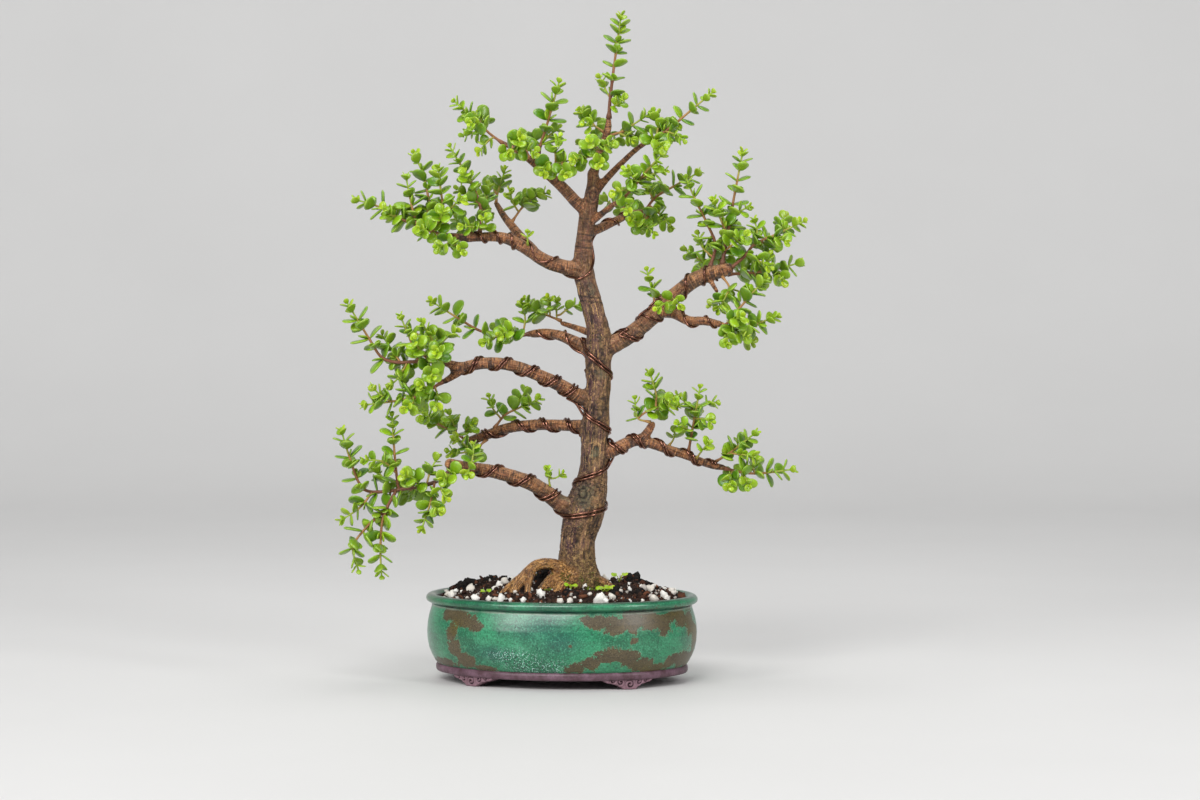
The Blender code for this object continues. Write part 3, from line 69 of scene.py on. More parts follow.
# A scroll foot's lower edge, along the oval and up.
FOOT_OUTLINE = [(-25, 7.6), (-22, 6.9), (-18, 5.8), (-15, 5.4), (-11, 3.6), (-8.6, 2.2), (-6, 0), (6, 0),
                (8.6, 2.2), (11, 3.6), (15, 5.4), (18, 5.8), (22, 6.9), (25, 7.6)]
# The feet's curls in relief, as (along, height, size, way round).
FOOT_CURLS = [(0, 5.2, 5.2, 1), (-9.5, 7.6, 4.2, -1), (9.5, 7.6, 4.2, 1), (-17.5, 9, 3.4, 1),
              (17.5, 9, 3.4, -1)]
DRAIN_X = 45.0
DRAIN_RADIUS = 10.0
# The middle of the pot's wall, by height, which parts its outside from its inside.
WALL_MIDDLE_HEIGHTS = [8, 17, 26, 41, 58, 75, 83, 87]
WALL_MIDDLE_WIDTHS = [116, 120, 127, 131, 131, 128.5, 131.5, 131.8]

# The soil rises from the wall to the trunk, with lumps as (x, y, radius, height).
SOIL_HALF_WIDTH = 125.8
SOIL_EDGE = 83.5
SOIL_MOUND = 12.0
SOIL_LUMPS = [(-106, 14, 20, 9), (-78, 40, 20, 9), (64, 22, 24, 10), (92, -4, 16, 4), (-60, -48, 22, 2),
              (20, 50, 30, 3)]
# Its rings: up the wall at these heights, and in over the top from its own half-width.
SOIL_WALL_HEIGHTS = [19.2, 40, 62, 78, 82]
SOIL_WALL = [(17, 112), (24, 122), (40, 125.4), (81, 125.2)]   # (height, half-width)
SOIL_TOP_HALF_WIDTH = 125.2
SOIL_TOP_RINGS = 84
SOIL_SEGMENTS = 280

# White perlite as (x, y, radius), and black clods of compost as (x, y, radius).
PERLITE = [(-66, 20, 4), (-75, -13, 3.4), (-32, 12, 4), (-20, 12, 5), (-10, -30, 3.2), (-28, -58, 6),
           (15, -22, 4), (35, 32, 4.6), (30, -78, 6), (42, -65, 4.6), (40, -87, 4.4), (-9, -81, 4.4),
           (1, -87, 4.4), (-48, -78, 4.2), (-92, -68, 3.4), (-80, -68, 3.4), (-85, -84, 5), (-117, -62, 4),
           (94, -35, 5), (98, -66, 4.6), (109, -49, 4), (50, -35, 3), (60, -22, 3), (-110, -44, 2.4),
           (-54, -44, 2.2), (5, -65, 2.2), (76, -68, 2.2), (20, -53, 2), (-39, -35, 2.4), (30, -22, 2.2),
           (84, -53, 2.6), (-69, -84, 2.2), (65, -78, 2.4), (11, -78, 2)]
CLODS = [(-106, 14, 15), (-84, 34, 14), (-64, 46, 12), (64, 22, 15), (84, 4, 12), (2, -52, 9), (46, -40, 7),
         (-50, 40, 10), (24, 62, 12), (70, -30, 8), (90, 20, 11), (-27, 5, 11)]
HEAP = (-27, 6, 13, 15)   # loose mix behind the arched root, as (x, y, radius, height)
CRUMBS = 3400
CRUMB_REACH = 123.0       # half-width of the oval that holds them
LOOSE_PERLITE = 90
LOOSE_PERLITE_FRONT = -20   # it lies behind this y, and in front of it lie only the given stones
PERLITE_REACH = 117.0
CRUMB_SEED = 61
GROWTH_SEED = 77
# Seedlings on the soil, as (x, y, height of the leaves over it, their reach), and moss as (x, y, radius).
SEEDLINGS = [(37, -30, 6, 5), (33, -34, 4, 3.6), (50, 4, 9, 6), (1, -29, 4, 2.6), (-84, -22, 2, 2.4)]
MOSS_TUFTS = [(-22, -30, 5), (22, -28, 6), (30, -14, 5), (38, -22, 4), (-30, 10, 6), (34, 26, 6), (8, 36, 6)]

# Patches where iron shows through the green glaze, as (bearing, height, half-width in degrees, half-height).
IRON_PATCHES = [(218, 70, 6, 9), (225, 70, 8, 9), (232, 66, 7, 9), (238, 61, 5, 6), (223, 52, 5, 12),
                (225, 38, 6, 12), (230, 27, 7, 9), (212, 22, 16, 4.5), (196, 20, 12, 4), (240, 20, 9, 3),
                (289, 69, 5, 6), (294, 68, 7, 9), (301, 65, 8, 11), (309, 68, 9, 12), (318, 69, 9, 12),
                (325, 64, 7, 13), (332, 72, 9, 9), (340, 69, 9, 12), (349, 62, 8, 18), (356, 46, 8, 18),
                (308.7, 49, 2.2, 3.2), (280.5, 45, 1.4, 1.9), (283, 22, 6, 6), (290, 27, 6, 8.5),
                (297, 33, 7, 11), (306, 32, 8, 11), (314, 25, 9, 8), (324, 21, 12, 5.5), (334, 27, 6, 9),
                (343, 26, 10, 11), (354, 25, 10, 10)]
GREEN_GAPS = [(328, 76, 5, 2), (296, 25, 2.5, 3.5), (301, 27, 2, 2)]
BACK_PATCHES = 34
BACK_PATCH_SEED = 41
OLIVE_PATCHES = [(356, 56, 16, 26), (330, 20, 26, 6), (300, 20, 18, 5), (225, 58, 5, 8), (338, 74, 10, 6)]
TEAL_PATCHES = [(268, 62, 14, 16), (276, 50, 10, 14), (246, 36, 9, 9), (150, 50, 24, 22), (60, 55, 22, 20)]
SPECK_PATCHES = [(264, 24, 14, 10), (274, 23, 9, 9), (256, 33, 12, 9), (308, 36, 5, 6), (110, 30, 24, 12)]
HIGHLIGHT_HEIGHT = 75.8   # a painted highlight: a pale line in the neck
RIM_SHADOW_HEIGHT = 77.8       # a painted shadow: a dark line under the lip
LIP_EDGE = 81.5
LIP_TOP = 86.4

# Wood: the voxel grid of its skin, and the sides of its limbs' tubes before they are joined.
WOOD_GRID = 1.25
WOOD_SIDES = 28
OLD_BARK_TOP = 500        # towards this height the trunk's bark turns half young
STAIN_TOP = 136           # the trunk is stained by the mix below this height
STAIN_DEPTH = 34
# Scars of cut limbs, as (x, y, z, radius, height of the rim).
SCARS = [(11, -20, 191, 7.5, 1.4), (20, -10, 391, 5.5, 0.7), (22.5, -9, 486, 6, 1.3), (31, -13, 268, 5, 0.6),
         (26, 14, 236, 6, 0.9), (4, 18, 150, 7, 1.0), (36, 6, 300, 4.5, 0.8), (60, -15, 348, 4.5, 0.8),
         (-40, -24, 200, 4, 0.6), (14, -10, 424, 4, 0.7)]
TRUNK_RINGS = [433.5, 440.5, 446.5, 462, 384, 379.5]   # heights of dark rings round the young trunk
# Grey-green lichen, as (x, y, z, radius, strength), and moss on the bark, as (x, y, z, radius).
LICHENS = [(14, -18, 186, 15, 0.9), (27, -14, 228, 8, 0.8), (34, -16, 308, 9, 0.8), (22, -10, 392, 8, 0.7),
           (10, -18, 160, 9, 0.5), (30, -12, 340, 9, 0.5), (-6, -10, 182, 8, 0.7), (10, -14, 262, 8, 0.6),
           (24, 15, 250, 14, 0.7), (10, 18, 140, 13, 0.7), (62, -12, 352, 7, 0.4), (0, -10, 296, 7, 0.5)]
MOSSES = [(-6, -24, 106, 9), (14, -22, 100, 10), (28, -14, 98, 9), (-20, -22, 112, 7), (28, 8, 98, 10),
          (4, 24, 100, 10), (-16, 12, 104, 9), (22, -18, 108, 6), (-36, -22, 118, 7)]

# The training wires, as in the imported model, drawn finer. Angles round a limb are in degrees.
WIRE_RADIUS = 1.25
WIRE_CLEARANCE = 0.05
STRAND_SPACING = 3.1
WIRE_PULL = 0.2           # how far it is drawn in at each turn where it stands off less than the reach given
WIRE_PULL_REACH = 3.5
WIRE_SIDES = 10
WIRE_STEP = 24.0          # degrees of winding between a strand's points
WIRE_SAMPLES = 4          # places looked at between one point and the next
WIRE_REACH = 36.0         # wood and strands farther off than this are left out
WIRE_YIELD = 0.45         # share of a push that a strand's point takes
SETTLING_TURNS = 120
SMOOTHING_TURNS = 30
LAYING_TURNS = 3
LAID_HEIGHT = 1.1         # of a strand's middle over the bark
LOOSE_HEIGHT = 3.6        # a strand that is farther off than this passes over something else
WIRE_STRAIGHTENING = 0.12

STEM_SIDES = 8
LEAF_STATIONS = [0.04, 0.2, 0.42, 0.64, 0.84, 0.965]
LEAF_SIDES = 8
FIRST_LEAF_SEED = 100
FIRST_SHAPE_SEED = 900
# Leaves stand in pairs, each pair square to the one below it. From a shoot's tip down, these are the
# distances between pairs, the leaves' lengths and their angles from the stem.
PAIR_GAPS = [4.0, 6.4, 8.2, 9.6, 11.0, 12.2, 13.0]
LEAF_LENGTHS = [6.2, 9.4, 12.2, 14.6, 16.2, 16.4]
LEAF_ANGLES = np.radians([33, 47, 55, 60, 64, 67, 70])
SIDE_PAIR_SHARE = 0.42    # of the older leaves have a small pair in their crook
LIGHT_TURNS = (0.12, 0.6)     # how far young and old leaves' upper sides turn to the light

# Soft lamps, in metres and watts, as (name, place, the height that they face, size, power).
SOFT_LAMPS = [("left softbox", (-1.6, -1.8, 1.3), 0.3, (0.9, 1.3), 29),
              ("right softbox", (1.7, -1.6, 1.3), 0.3, (0.5, 1.3), 24),
              ("overhead", (0.0, 0.2, 2.2), 0.2, (1.2, 1.0), 16)]
HIGH_LIGHT_POWER = 1.55
HIGH_LIGHT_WIDTH = np.radians(24)
HIGH_LIGHT_TURN = np.radians([48, -16, 0])
WORLD_COLOUR = (0.9, 0.93, 1.0, 1)
WORLD_LIGHT = 0.24
# The stage, in metres: flat from its front, then up in a quarter circle of this radius, then straight up.
STAGE_HALF_WIDTH = 7
STAGE_FRONT = -6.0
STAGE_CURVE = 2.2
STAGE_RADIUS = 1.6
STAGE_TOP = 6.0
CAMERA_PLACE = (0.030, -3.400, 0.433)
CAMERA_DIP = 2.56         # degrees below level
CAMERA_LENS = 102         # millimetres, before a sensor 36 wide

# Wood: each limb is a route of (x, y, z, radius), in millimetres, from where it joins to its end.
TRUNK = [
    (7, 0, 72, 15), (8, 0, 88, 21), (9, 0, 100, 22.5), (8, 0, 112, 20), (7, -1, 126, 18.6), (8, -1, 143, 18),
    (12, 0, 161, 20.3), (16, 1, 176, 20), (20, 2, 191, 17), (24, 3, 211, 14.3), (24.5, 3, 232, 14.3),
    (25, 2, 252, 14.3), (26.5, 0, 272, 13.2), (28, -2, 292, 12.4), (28.5, -3, 312, 13), (29, -3, 332, 13.5),
    (28, -2, 352, 12), (23.5, 0, 372, 11.3), (18, 1, 391, 10.4), (14.5, 2, 407, 10.6), (13, 2, 423, 10),
    (14, 1, 441, 8.7), (17, 0, 461, 9), (20.5, 0, 476, 8.4), (23, 0, 492, 7.3), (23, 0, 507, 6.4),
]
LIMBS = {
    "low_left": [(14, 0, 172, 11), (-6, -5, 176, 9.4), (-20, -9, 186, 8.4), (-40, -15, 199, 7.6),
        (-62, -20, 207, 7), (-86, -25, 213, 6.6), (-106, -30, 216, 6.2), (-119, -33, 219, 5.8)],
    "back_left": [(18, 4, 254, 7.4), (2, 15, 254.5, 6.4), (-20, 24, 255, 5.9), (-42, 31, 254, 5.7),
        (-62, 38, 251, 5.5), (-82, 46, 244.5, 5.2), (-97, 52, 239, 4.8), (-103, 54, 237, 4.2)],
    "mid_left": [(24, -2, 278, 9), (8, -6, 286, 7.8), (-8, -11, 295.5, 7), (-28, -16, 305, 6.5),
        (-50, -21, 314, 6.3), (-70, -25, 318.5, 6), (-88, -28, 318.5, 5.9), (-104, -31, 315, 5.9),
        (-114, -33, 314, 5.5)],
    "mid_left_upper_fork": [(-108, -32, 315, 5), (-118, -34, 318, 4.2), (-126, -36, 320, 3.4)],
    "mid_left_lower_fork": [(-106, -31, 313, 5), (-116, -31, 306, 4), (-124, -31, 301, 3)],
    "upper_back_left": [(24, 2, 330, 7), (8, 14, 337, 6.4), (-8, 25, 344, 5.6), (-24, 37, 347, 5),
        (-38, 47, 346, 4.4)],
    "upper_back_twig": [(26, 4, 346, 4.4), (8, 22, 352, 3.4), (-8, 36, 357, 2.8)],
    "upper_left": [(14, 1, 411, 9), (-6, -3, 414, 7.7), (-22, -6, 419, 6.9), (-40, -8, 430, 6.5),
        (-54, -10, 438.5, 6), (-70, -11, 444, 5.4), (-88, -12, 444, 4.8), (-104, -13, 443, 4.4),
        (-119, -14, 444.5, 4)],
    "upper_left_riser": [(-36, -6, 430, 5.8), (-46, 4, 440, 5.4), (-56, 16, 452, 4.6), (-66, 28, 464, 3.8),
        (-74, 38, 477, 3)],
    "top_left_fork": [(19, 0, 468, 7.4), (6, -1, 479, 6.4), (-5, -2, 491, 6), (-16, -4, 501, 5.4),
        (-28, -6, 511, 4.6), (-40, -7, 521, 3.9), (-52, -8, 530, 3.3), (-66, -9, 537, 2.6)],
    "leader": [(23, 0, 500, 5.4), (27, -2, 522, 4.2), (34, -3, 540, 3.8), (38, -3, 552, 3.9),
        (38.5, -3, 561, 2.9)],
    "top_right_fork": [(22, 0, 484, 5), (33, -2, 498, 4), (42, -3, 508, 3.6), (54, -5, 520, 3.2),
        (66, -7, 531, 2.9), (79, -8, 540, 2.5)],
    "right_front_twig": [(17, -2, 456, 4.6), (33, -8, 468, 3.4), (43, -12, 476, 2.9), (51, -15, 481, 2.4)],
    "right_back_stub": [(16, 2, 448, 6), (30, 12, 453, 5), (45, 26, 460, 4.4), (60, 40, 467, 3.6),
        (73, 51, 470, 2.8)],
    "right": [(28, -2, 330, 11), (46, -3, 338, 9.2), (62, -5, 348, 8.8), (78, -8, 361, 8.8),
        (94, -11, 376, 8.6), (108, -13, 389, 8.3), (122, -15, 400, 8), (137, -16, 407, 7.7),
        (150, -17, 410, 7.2), (157, -17, 412, 6.4)],
    "right_fork": [(90, -12, 370, 6.4), (104, -24, 368, 5.6), (118, -34, 361, 5), (132, -41, 361, 4.4),
        (148, -46, 358, 3.6)],
    "right_snag": [(139, -18, 402, 3), (143, -22, 395, 2.4), (146, -25, 390, 2.2)],
    "low_right": [(26, 1, 226, 8.4), (43, 1, 230.5, 7), (56, 3, 237, 6.3), (68, 5, 240.5, 6),
        (82, 8, 237, 5.4), (97, 11, 231, 5), (113, 13, 226, 4.6), (129, 14, 219.5, 4.2),
        (143, 15, 214.5, 3.8), (154, 16, 212, 3.2)],
    "low_right_stub": [(70, 5, 240, 5), (78, 4, 249, 4.8), (82, 3, 256, 4)],
}
ROOTS = {
    "arched_root": [(4, -6, 104, 9), (-14, -15, 116, 6.6), (-28, -22, 118.5, 5.6), (-38, -28, 115, 5.2),
        (-47, -33, 106, 4.8), (-54, -38, 95, 4.6), (-60, -42, 80, 3.6)],
    "arched_root_finger": [(-36, -27, 115, 4.4), (-40, -35, 104, 3.8), (-42, -41, 92, 3.3),
        (-41, -45, 78, 2.8)],
    "arched_root_spur": [(-44, -31, 110, 3.8), (-58, -34, 100, 3), (-68, -38, 90, 2.6),
        (-74, -41, 78, 2.2)],
    "root_mass": [(4, -8, 104, 15), (-10, -15, 101, 12), (-21, -20, 95, 9), (-29, -24, 86, 7),
        (-34, -27, 76, 5)],
    "front_root": [(4, -10, 102, 8), (-8, -24, 97, 6.5), (-14, -36, 88, 4.8), (-16, -46, 74, 3.4)],
    "right_root": [(14, 0, 100, 8), (32, -6, 98, 6), (42, -9, 90, 4.5), (48, -10, 76, 3.2)],
    "back_root": [(8, 6, 100, 8), (10, 26, 98, 6), (12, 37, 90, 4.6), (13, 44, 76, 3.2)],
    "left_back_root": [(2, 4, 101, 8), (-18, 14, 99, 5.6), (-30, 20, 91, 4.2), (-36, 24, 77, 3)],
}

WOUND_LOW_LEFT = ("low_left", [(-98, 1000), (-81, 810), (-48.4, 450), (-21, 90), (-16, -60), (-13, -150)])
WOUND_LOW_TRUNK = ("trunk", [(210, 160), (235, 163), (270, 168), (315, 174), (360, 177), (405, 180),
                             (450, 184), (495, 189), (540, 196), (585, 202), (630, 207), (675, 210),
                             (715, 214), (735, 228)])
WOUND_LOW_RIGHT = ("low_right", [(41, -60), (48, 90), (70, 450), (95, 810), (124, 1170), (146, 1500)])
WOUND_MID_LEFT = ("mid_left", [(-108, 1660), (-98, 1530), (-70, 1170), (-43, 810), (-20, 450), (-1, 90),
                               (1, -30), (3, -140)])
WOUND_MID_TRUNK = ("trunk", [(205, 267), (235, 267), (270, 262), (315, 254), (360, 249), (405, 246),
                             (445, 245)])
WOUND_BACK_LEFT = ("back_left", [(8, 240), (2, 90), (-24, -270), (-48, -630), (-56, -720), (-84, -990),
                                 (-92, -1150)])
WOUND_UPPER_TRUNK = ("trunk", [(40, 347), (90, 345), (135, 344), (180, 339), (225, 331), (270, 320),
                               (315, 311), (360, 305), (405, 300), (450, 299), (495, 304), (525, 314)])
WOUND_UPPER_BACK = ("upper_back_left", [(10, 200), (1, 90), (-15, -110), (-31, -300)])
WOUND_RIGHT = ("right", [(98, 830), (81, 450), (60, 90), (45, -80)])
WOUND_RIGHT_OUTER = ("right", [(142, -540), (131, -270), (114, 90), (95, 300), (84, 420), (76, 440),
                               (66, 330), (56, 90), (45, -80)])
WOUND_RIGHT_FORK = ("right_fork", [(145, 1650), (140, 1530), (116, 1170), (104, 960)])
WOUND_UPPER_LEFT = ("upper_left", [(-98, -90), (-89, 90), (-71, 450), (-58, 810), (-39, 1170), (-31, 1250),
                                   (-21, 1170), (-13, 1080), (-9, 930)])
WOUND_TOP_TRUNK = ("trunk", [(195, 398), (230, 397), (270, 401), (315, 409), (350, 417), (380, 427),
                             (405, 437)])
WOUND_RIGHT_BACK = ("right_back_stub", [(29, -160), (34, -95), (39, 0), (43, 90), (52, 270), (60, 450)])
# Each strand is its stretches in order, and how far it lies beside the first strand along them.
WIRES = {
    "wire_1a": ([WOUND_LOW_LEFT, WOUND_LOW_TRUNK, WOUND_LOW_RIGHT], 0),
    "wire_1b": ([WOUND_LOW_LEFT, WOUND_LOW_TRUNK, WOUND_LOW_RIGHT], STRAND_SPACING),
    "wire_2a": ([WOUND_MID_LEFT, WOUND_MID_TRUNK, WOUND_BACK_LEFT], 0),
    "wire_2b": ([WOUND_MID_LEFT, WOUND_MID_TRUNK, WOUND_BACK_LEFT], STRAND_SPACING),
    "wire_3a": ([WOUND_RIGHT_FORK, WOUND_RIGHT, WOUND_UPPER_TRUNK, WOUND_UPPER_BACK], 0),
    "wire_3b": ([WOUND_RIGHT_OUTER, WOUND_UPPER_TRUNK], STRAND_SPACING),
    "wire_4": ([WOUND_UPPER_LEFT, WOUND_TOP_TRUNK, WOUND_RIGHT_BACK], 0),
}

# Leafy sprays: each is a list of shoots, and each shoot a route of (x, y, z) in millimetres from its foot
# to its tip. A spray's first shoot stands on the wood, and each later shoot on the nearest stem before it.
SPRAYS = {
    "low_left_end": [
        [(-118, -33, 213), (-134, -35, 201), (-160, -35, 195), (-196, -31, 191), (-209, -33, 200),
        (-219, -36, 228), (-226, -38, 252)], [(-196, -32, 191), (-208, -40, 176), (-226, -46, 164)],
        [(-170, -34, 194), (-173, -34, 220), (-176, -36, 266)], [(-172, -34, 210), (-184, -46, 222),
        (-202, -50, 224)], [(-172, -35, 193), (-184, -46, 168), (-187, -50, 138), (-186, -50, 110)],
        [(-182, -42, 174), (-200, -48, 158), (-214, -50, 138), (-209, -52, 116)], [(-150, -35, 197),
        (-153, -50, 205), (-162, -62, 210)], [(-142, -35, 199), (-138, -30, 213), (-132, -24, 224)],
        [(-134, -36, 200), (-138, -46, 180), (-146, -54, 156)], [(-137, -44, 183), (-134, -56, 178),
        (-128, -62, 174)], [(-180, -34, 194), (-186, -20, 204), (-196, -8, 214)], [(-155, -35, 197),
        (-160, -16, 190), (-168, 2, 186)], [(-119, -34, 212), (-118, -46, 210), (-124, -60, 206)],
        [(-118, -46, 210), (-127, -54, 197), (-122, -60, 188)]],
    "low_left_mid": [
        [(-98, -37, 216), (-99, -44, 215), (-101, -54, 210)], [(-98, -42, 215), (-96, -40, 226),
        (-95, -36, 238)]],
    "low_left_sprig": [
        [(-20, -12, 195), (-21, -15, 203), (-22, -18, 213)], [(-21, -15, 203), (-14, -17, 204),
        (-8, -18, 208)]],
    "back_left_end": [
        [(-106, 54, 237), (-116, 58, 244), (-134, 62, 253), (-158, 66, 272)], [(-116, 57, 244),
        (-119, 48, 255), (-123, 40, 266)], [(-112, 56, 241), (-104, 46, 250), (-98, 36, 256)],
        [(-125, 60, 249), (-130, 74, 256), (-138, 88, 262)], [(-140, 63, 256), (-146, 52, 262),
        (-150, 42, 262)]],
    "back_left_riser": [
        [(-76, 42, 252), (-66, 44, 264), (-50, 42, 272), (-32, 40, 280)], [(-70, 43, 260), (-78, 38, 270),
        (-82, 34, 282)], [(-56, 42, 270), (-50, 54, 280), (-46, 66, 288)]],
    "back_left_under": [
        [(-86, 46, 238), (-96, 38, 230), (-110, 32, 226), (-122, 28, 228)], [(-90, 43, 235), (-94, 56, 226),
        (-98, 70, 220)], [(-102, 35, 228), (-110, 26, 238), (-116, 18, 242)]],
    "mid_left_upper": [
        [(-129, -36, 320), (-146, -37, 321), (-170, -38, 320), (-186, -38, 325), (-198, -39, 343),
        (-219, -42, 378)], [(-168, -38, 321), (-176, -32, 332), (-186, -26, 346)], [(-150, -37, 321),
        (-158, -42, 344), (-167, -46, 366)], [(-133, -36, 321), (-136, -42, 342), (-146, -50, 360)],
        [(-134, -38, 328), (-124, -30, 342), (-113, -26, 350)], [(-132, -38, 322), (-128, -58, 330),
        (-130, -76, 332)], [(-140, -37, 322), (-148, -58, 334), (-152, -74, 344)], [(-140, -37, 321),
        (-136, -56, 312), (-134, -72, 308)], [(-140, -36, 322), (-138, -14, 332), (-144, 8, 344)],
        [(-156, -37, 321), (-166, -18, 318), (-178, -2, 320)], [(-160, -38, 320), (-170, -42, 304),
        (-177, -46, 298)], [(-144, -44, 345), (-154, -42, 350), (-160, -38, 354)]],
    "mid_left_lower": [
        [(-127, -31, 300), (-138, -36, 293), (-152, -44, 286), (-172, -44, 282), (-203, -46, 278)],
        [(-138, -36, 293), (-141, -52, 296), (-146, -66, 298)], [(-146, -42, 288), (-154, -58, 281),
        (-160, -70, 276)], [(-134, -34, 296), (-130, -44, 286), (-132, -56, 278)], [(-140, -38, 291),
        (-146, -20, 282), (-152, -2, 278)], [(-176, -44, 281), (-186, -52, 288), (-194, -56, 296)],
        [(-156, -44, 286), (-162, -40, 298), (-164, -34, 308)]],
    "upper_back_end": [
        [(-41, 48, 346), (-58, 44, 344), (-88, 43, 348), (-112, 42, 361), (-140, 38, 379)], [(-54, 45, 345),
        (-62, 28, 348), (-70, 12, 347)], [(-66, 43, 346), (-78, 32, 342), (-86, 22, 338)], [(-62, 44, 345),
        (-68, 58, 350), (-76, 74, 354)], [(-48, 46, 346), (-46, 52, 362), (-50, 56, 376)]],
    "upper_back_twig_end": [
        [(-11, 40, 360), (-24, 48, 365), (-36, 54, 370), (-46, 57, 380)], [(-28, 50, 367), (-34, 70, 370),
        (-40, 92, 374)], [(-14, 42, 362), (-14, 43, 370), (-14, 44, 381)], [(-12, 41, 364), (0, 48, 373),
        (12, 54, 376)], [(-20, 46, 364), (-22, 34, 374), (-22, 26, 382)]],
    "upper_left_end": [
        [(-122, -14, 445), (-142, -16, 451), (-166, -16, 461), (-190, -14, 474), (-213, -11, 481)],
        [(-152, -16, 455), (-157, -14, 474), (-163, -12, 504)], [(-142, -15, 451), (-141, -4, 478),
        (-146, 6, 504), (-156, 10, 527)], [(-170, -16, 463), (-178, -26, 466), (-184, -34, 472)],
        [(-130, -15, 447), (-140, -34, 451), (-148, -50, 452)], [(-160, -16, 458), (-170, 0, 462),
        (-180, 16, 468)], [(-148, -15, 454), (-150, 14, 462), (-152, 38, 470)], [(-136, -15, 449),
        (-128, -30, 462), (-124, -44, 470)], [(-123, -14, 445), (-120, -30, 438), (-130, -46, 434)],
        [(-120, -26, 440), (-110, -36, 434), (-106, -46, 430)], [(-124, -15, 446), (-125, -18, 468),
        (-128, -20, 490), (-130, -22, 512)], [(-124, -17, 466), (-114, -28, 476), (-106, -36, 482)]],
    "upper_left_diagonal": [
        [(-90, -10, 448), (-88, -6, 466), (-96, -4, 494), (-109, -4, 516), (-119, -4, 533)],
        [(-88, -7, 462), (-84, 4, 480), (-82, 10, 496)], [(-91, -5, 478), (-102, 4, 486), (-112, 12, 492)],
        [(-94, -4, 490), (-100, -16, 500), (-104, -26, 508)], [(-90, -10, 450), (-84, -22, 455),
        (-84, -34, 463)], [(-86, -20, 453), (-98, -28, 454), (-106, -36, 454)]],
    "upper_left_back": [
        [(-98, -10, 447), (-102, 6, 452), (-108, 28, 458), (-114, 50, 466)], [(-104, 14, 454),
        (-92, 28, 460), (-82, 40, 466)]],
    "riser_end": [
        [(-75, 40, 479), (-73, 43, 490), (-66, 45, 512)], [(-75, 41, 483), (-86, 46, 482), (-98, 52, 484)],
        [(-74, 42, 486), (-78, 58, 494), (-82, 74, 502)]],
    "riser_mid": [
        [(-58, 22, 460), (-48, 28, 474), (-36, 30, 484), (-24, 28, 488)], [(-46, 29, 476), (-44, 44, 482),
        (-40, 60, 488)], [(-52, 26, 469), (-58, 18, 480), (-60, 14, 490)]],
    "riser_sprig": [
        [(-42, -14, 437), (-42, -18, 442), (-42, -20, 447)]],
    "top_left_end": [
        [(-68, -9, 538), (-80, -8, 547), (-96, -8, 562), (-114, -8, 578)], [(-84, -8, 551), (-96, -2, 548),
        (-106, 4, 546)], [(-76, -8, 544), (-84, -14, 536), (-90, -18, 528)], [(-92, -8, 558),
        (-94, -20, 556), (-98, -30, 556)], [(-90, -8, 556), (-88, 6, 562), (-90, 20, 568)]],
    "top_left_front": [
        [(-54, -12, 530), (-52, -28, 536), (-48, -44, 540)], [(-53, -20, 533), (-62, -32, 529),
        (-60, -44, 526)], [(-52, -22, 534), (-40, -32, 530), (-34, -42, 527)]],
    "top_left_upright": [
        [(-30, -5, 517), (-30, -4, 532), (-24, -4, 552), (-18, -4, 572), (-11, -4, 597)], [(-28, -4, 538),
        (-20, 8, 546), (-12, 18, 552)]],
    "top_left_inner": [
        [(-22, -9, 512), (-12, -13, 517), (4, -18, 521)], [(-14, -12, 516), (-14, -20, 530),
        (-10, -26, 542)], [(-8, -15, 518), (-6, -30, 510), (-4, -42, 506)], [(-18, -10, 514),
        (-24, -24, 512), (-26, -34, 508)]],
    "top_left_back": [
        [(-42, -2, 525), (-44, 14, 532), (-48, 34, 540), (-50, 52, 548)], [(-46, 24, 536), (-34, 34, 542),
        (-26, 42, 550)]],
    "leader_tip": [
        [(39, -3, 564), (40, -2, 580), (43, -2, 606), (47, -2, 636), (51, -2, 664)], [(40, -2, 582),
        (35, 0, 592), (30, 2, 602)], [(40, -2, 572), (48, -12, 576), (54, -20, 582)]],
    "leader_left": [
        [(33, -1, 549), (22, 3, 557), (10, 6, 570)], [(25, 2, 555), (20, -10, 554), (14, -18, 556)],
        [(24, 2, 556), (20, 14, 562), (14, 26, 570)]],
    "leader_front": [
        [(24, -7, 518), (23, -20, 530), (20, -38, 538)], [(24, -14, 524), (30, -28, 520), (30, -42, 516)],
        [(23, -14, 524), (12, -26, 522), (4, -36, 520)], [(23, -18, 528), (34, -26, 534), (42, -36, 536)]],
    "leader_right": [
        [(39, 0, 545), (54, 2, 550), (66, 4, 558), (78, 6, 566)], [(52, 2, 549), (62, 14, 546),
        (72, 26, 546)], [(48, 1, 548), (56, -8, 544), (62, -16, 540)]],
    "leader_back": [
        [(30, 3, 528), (32, 20, 536), (34, 38, 546), (34, 56, 556)], [(33, 28, 540), (46, 34, 542),
        (58, 42, 548)], [(32, 18, 535), (20, 28, 534), (10, 38, 538)]],
    "top_right_end": [
        [(82, -8, 541), (98, -8, 551), (116, -7, 566), (141, -5, 587)], [(86, -8, 544), (88, -2, 556),
        (84, 2, 568)], [(82, -9, 542), (88, -26, 538), (92, -40, 532)], [(94, -8, 549), (104, -16, 546),
        (112, -22, 540)], [(90, -8, 546), (94, 10, 550), (100, 26, 556)]],
    "right_front_end": [
        [(53, -16, 482), (64, -20, 494), (76, -25, 509), (92, -31, 526)], [(60, -19, 490), (52, -32, 490),
        (44, -42, 488)], [(70, -23, 501), (82, -22, 506), (94, -20, 510)], [(55, -17, 484), (58, -30, 476),
        (56, -40, 470)], [(66, -21, 497), (62, -34, 504), (56, -42, 510)]],
    "right_back_end": [
        [(76, 52, 471), (86, 51, 484), (104, 48, 495), (129, 44, 509)], [(80, 51, 476), (92, 44, 466),
        (101, 36, 454)], [(82, 51, 479), (86, 64, 488), (92, 78, 494)], [(78, 51, 474), (74, 64, 462),
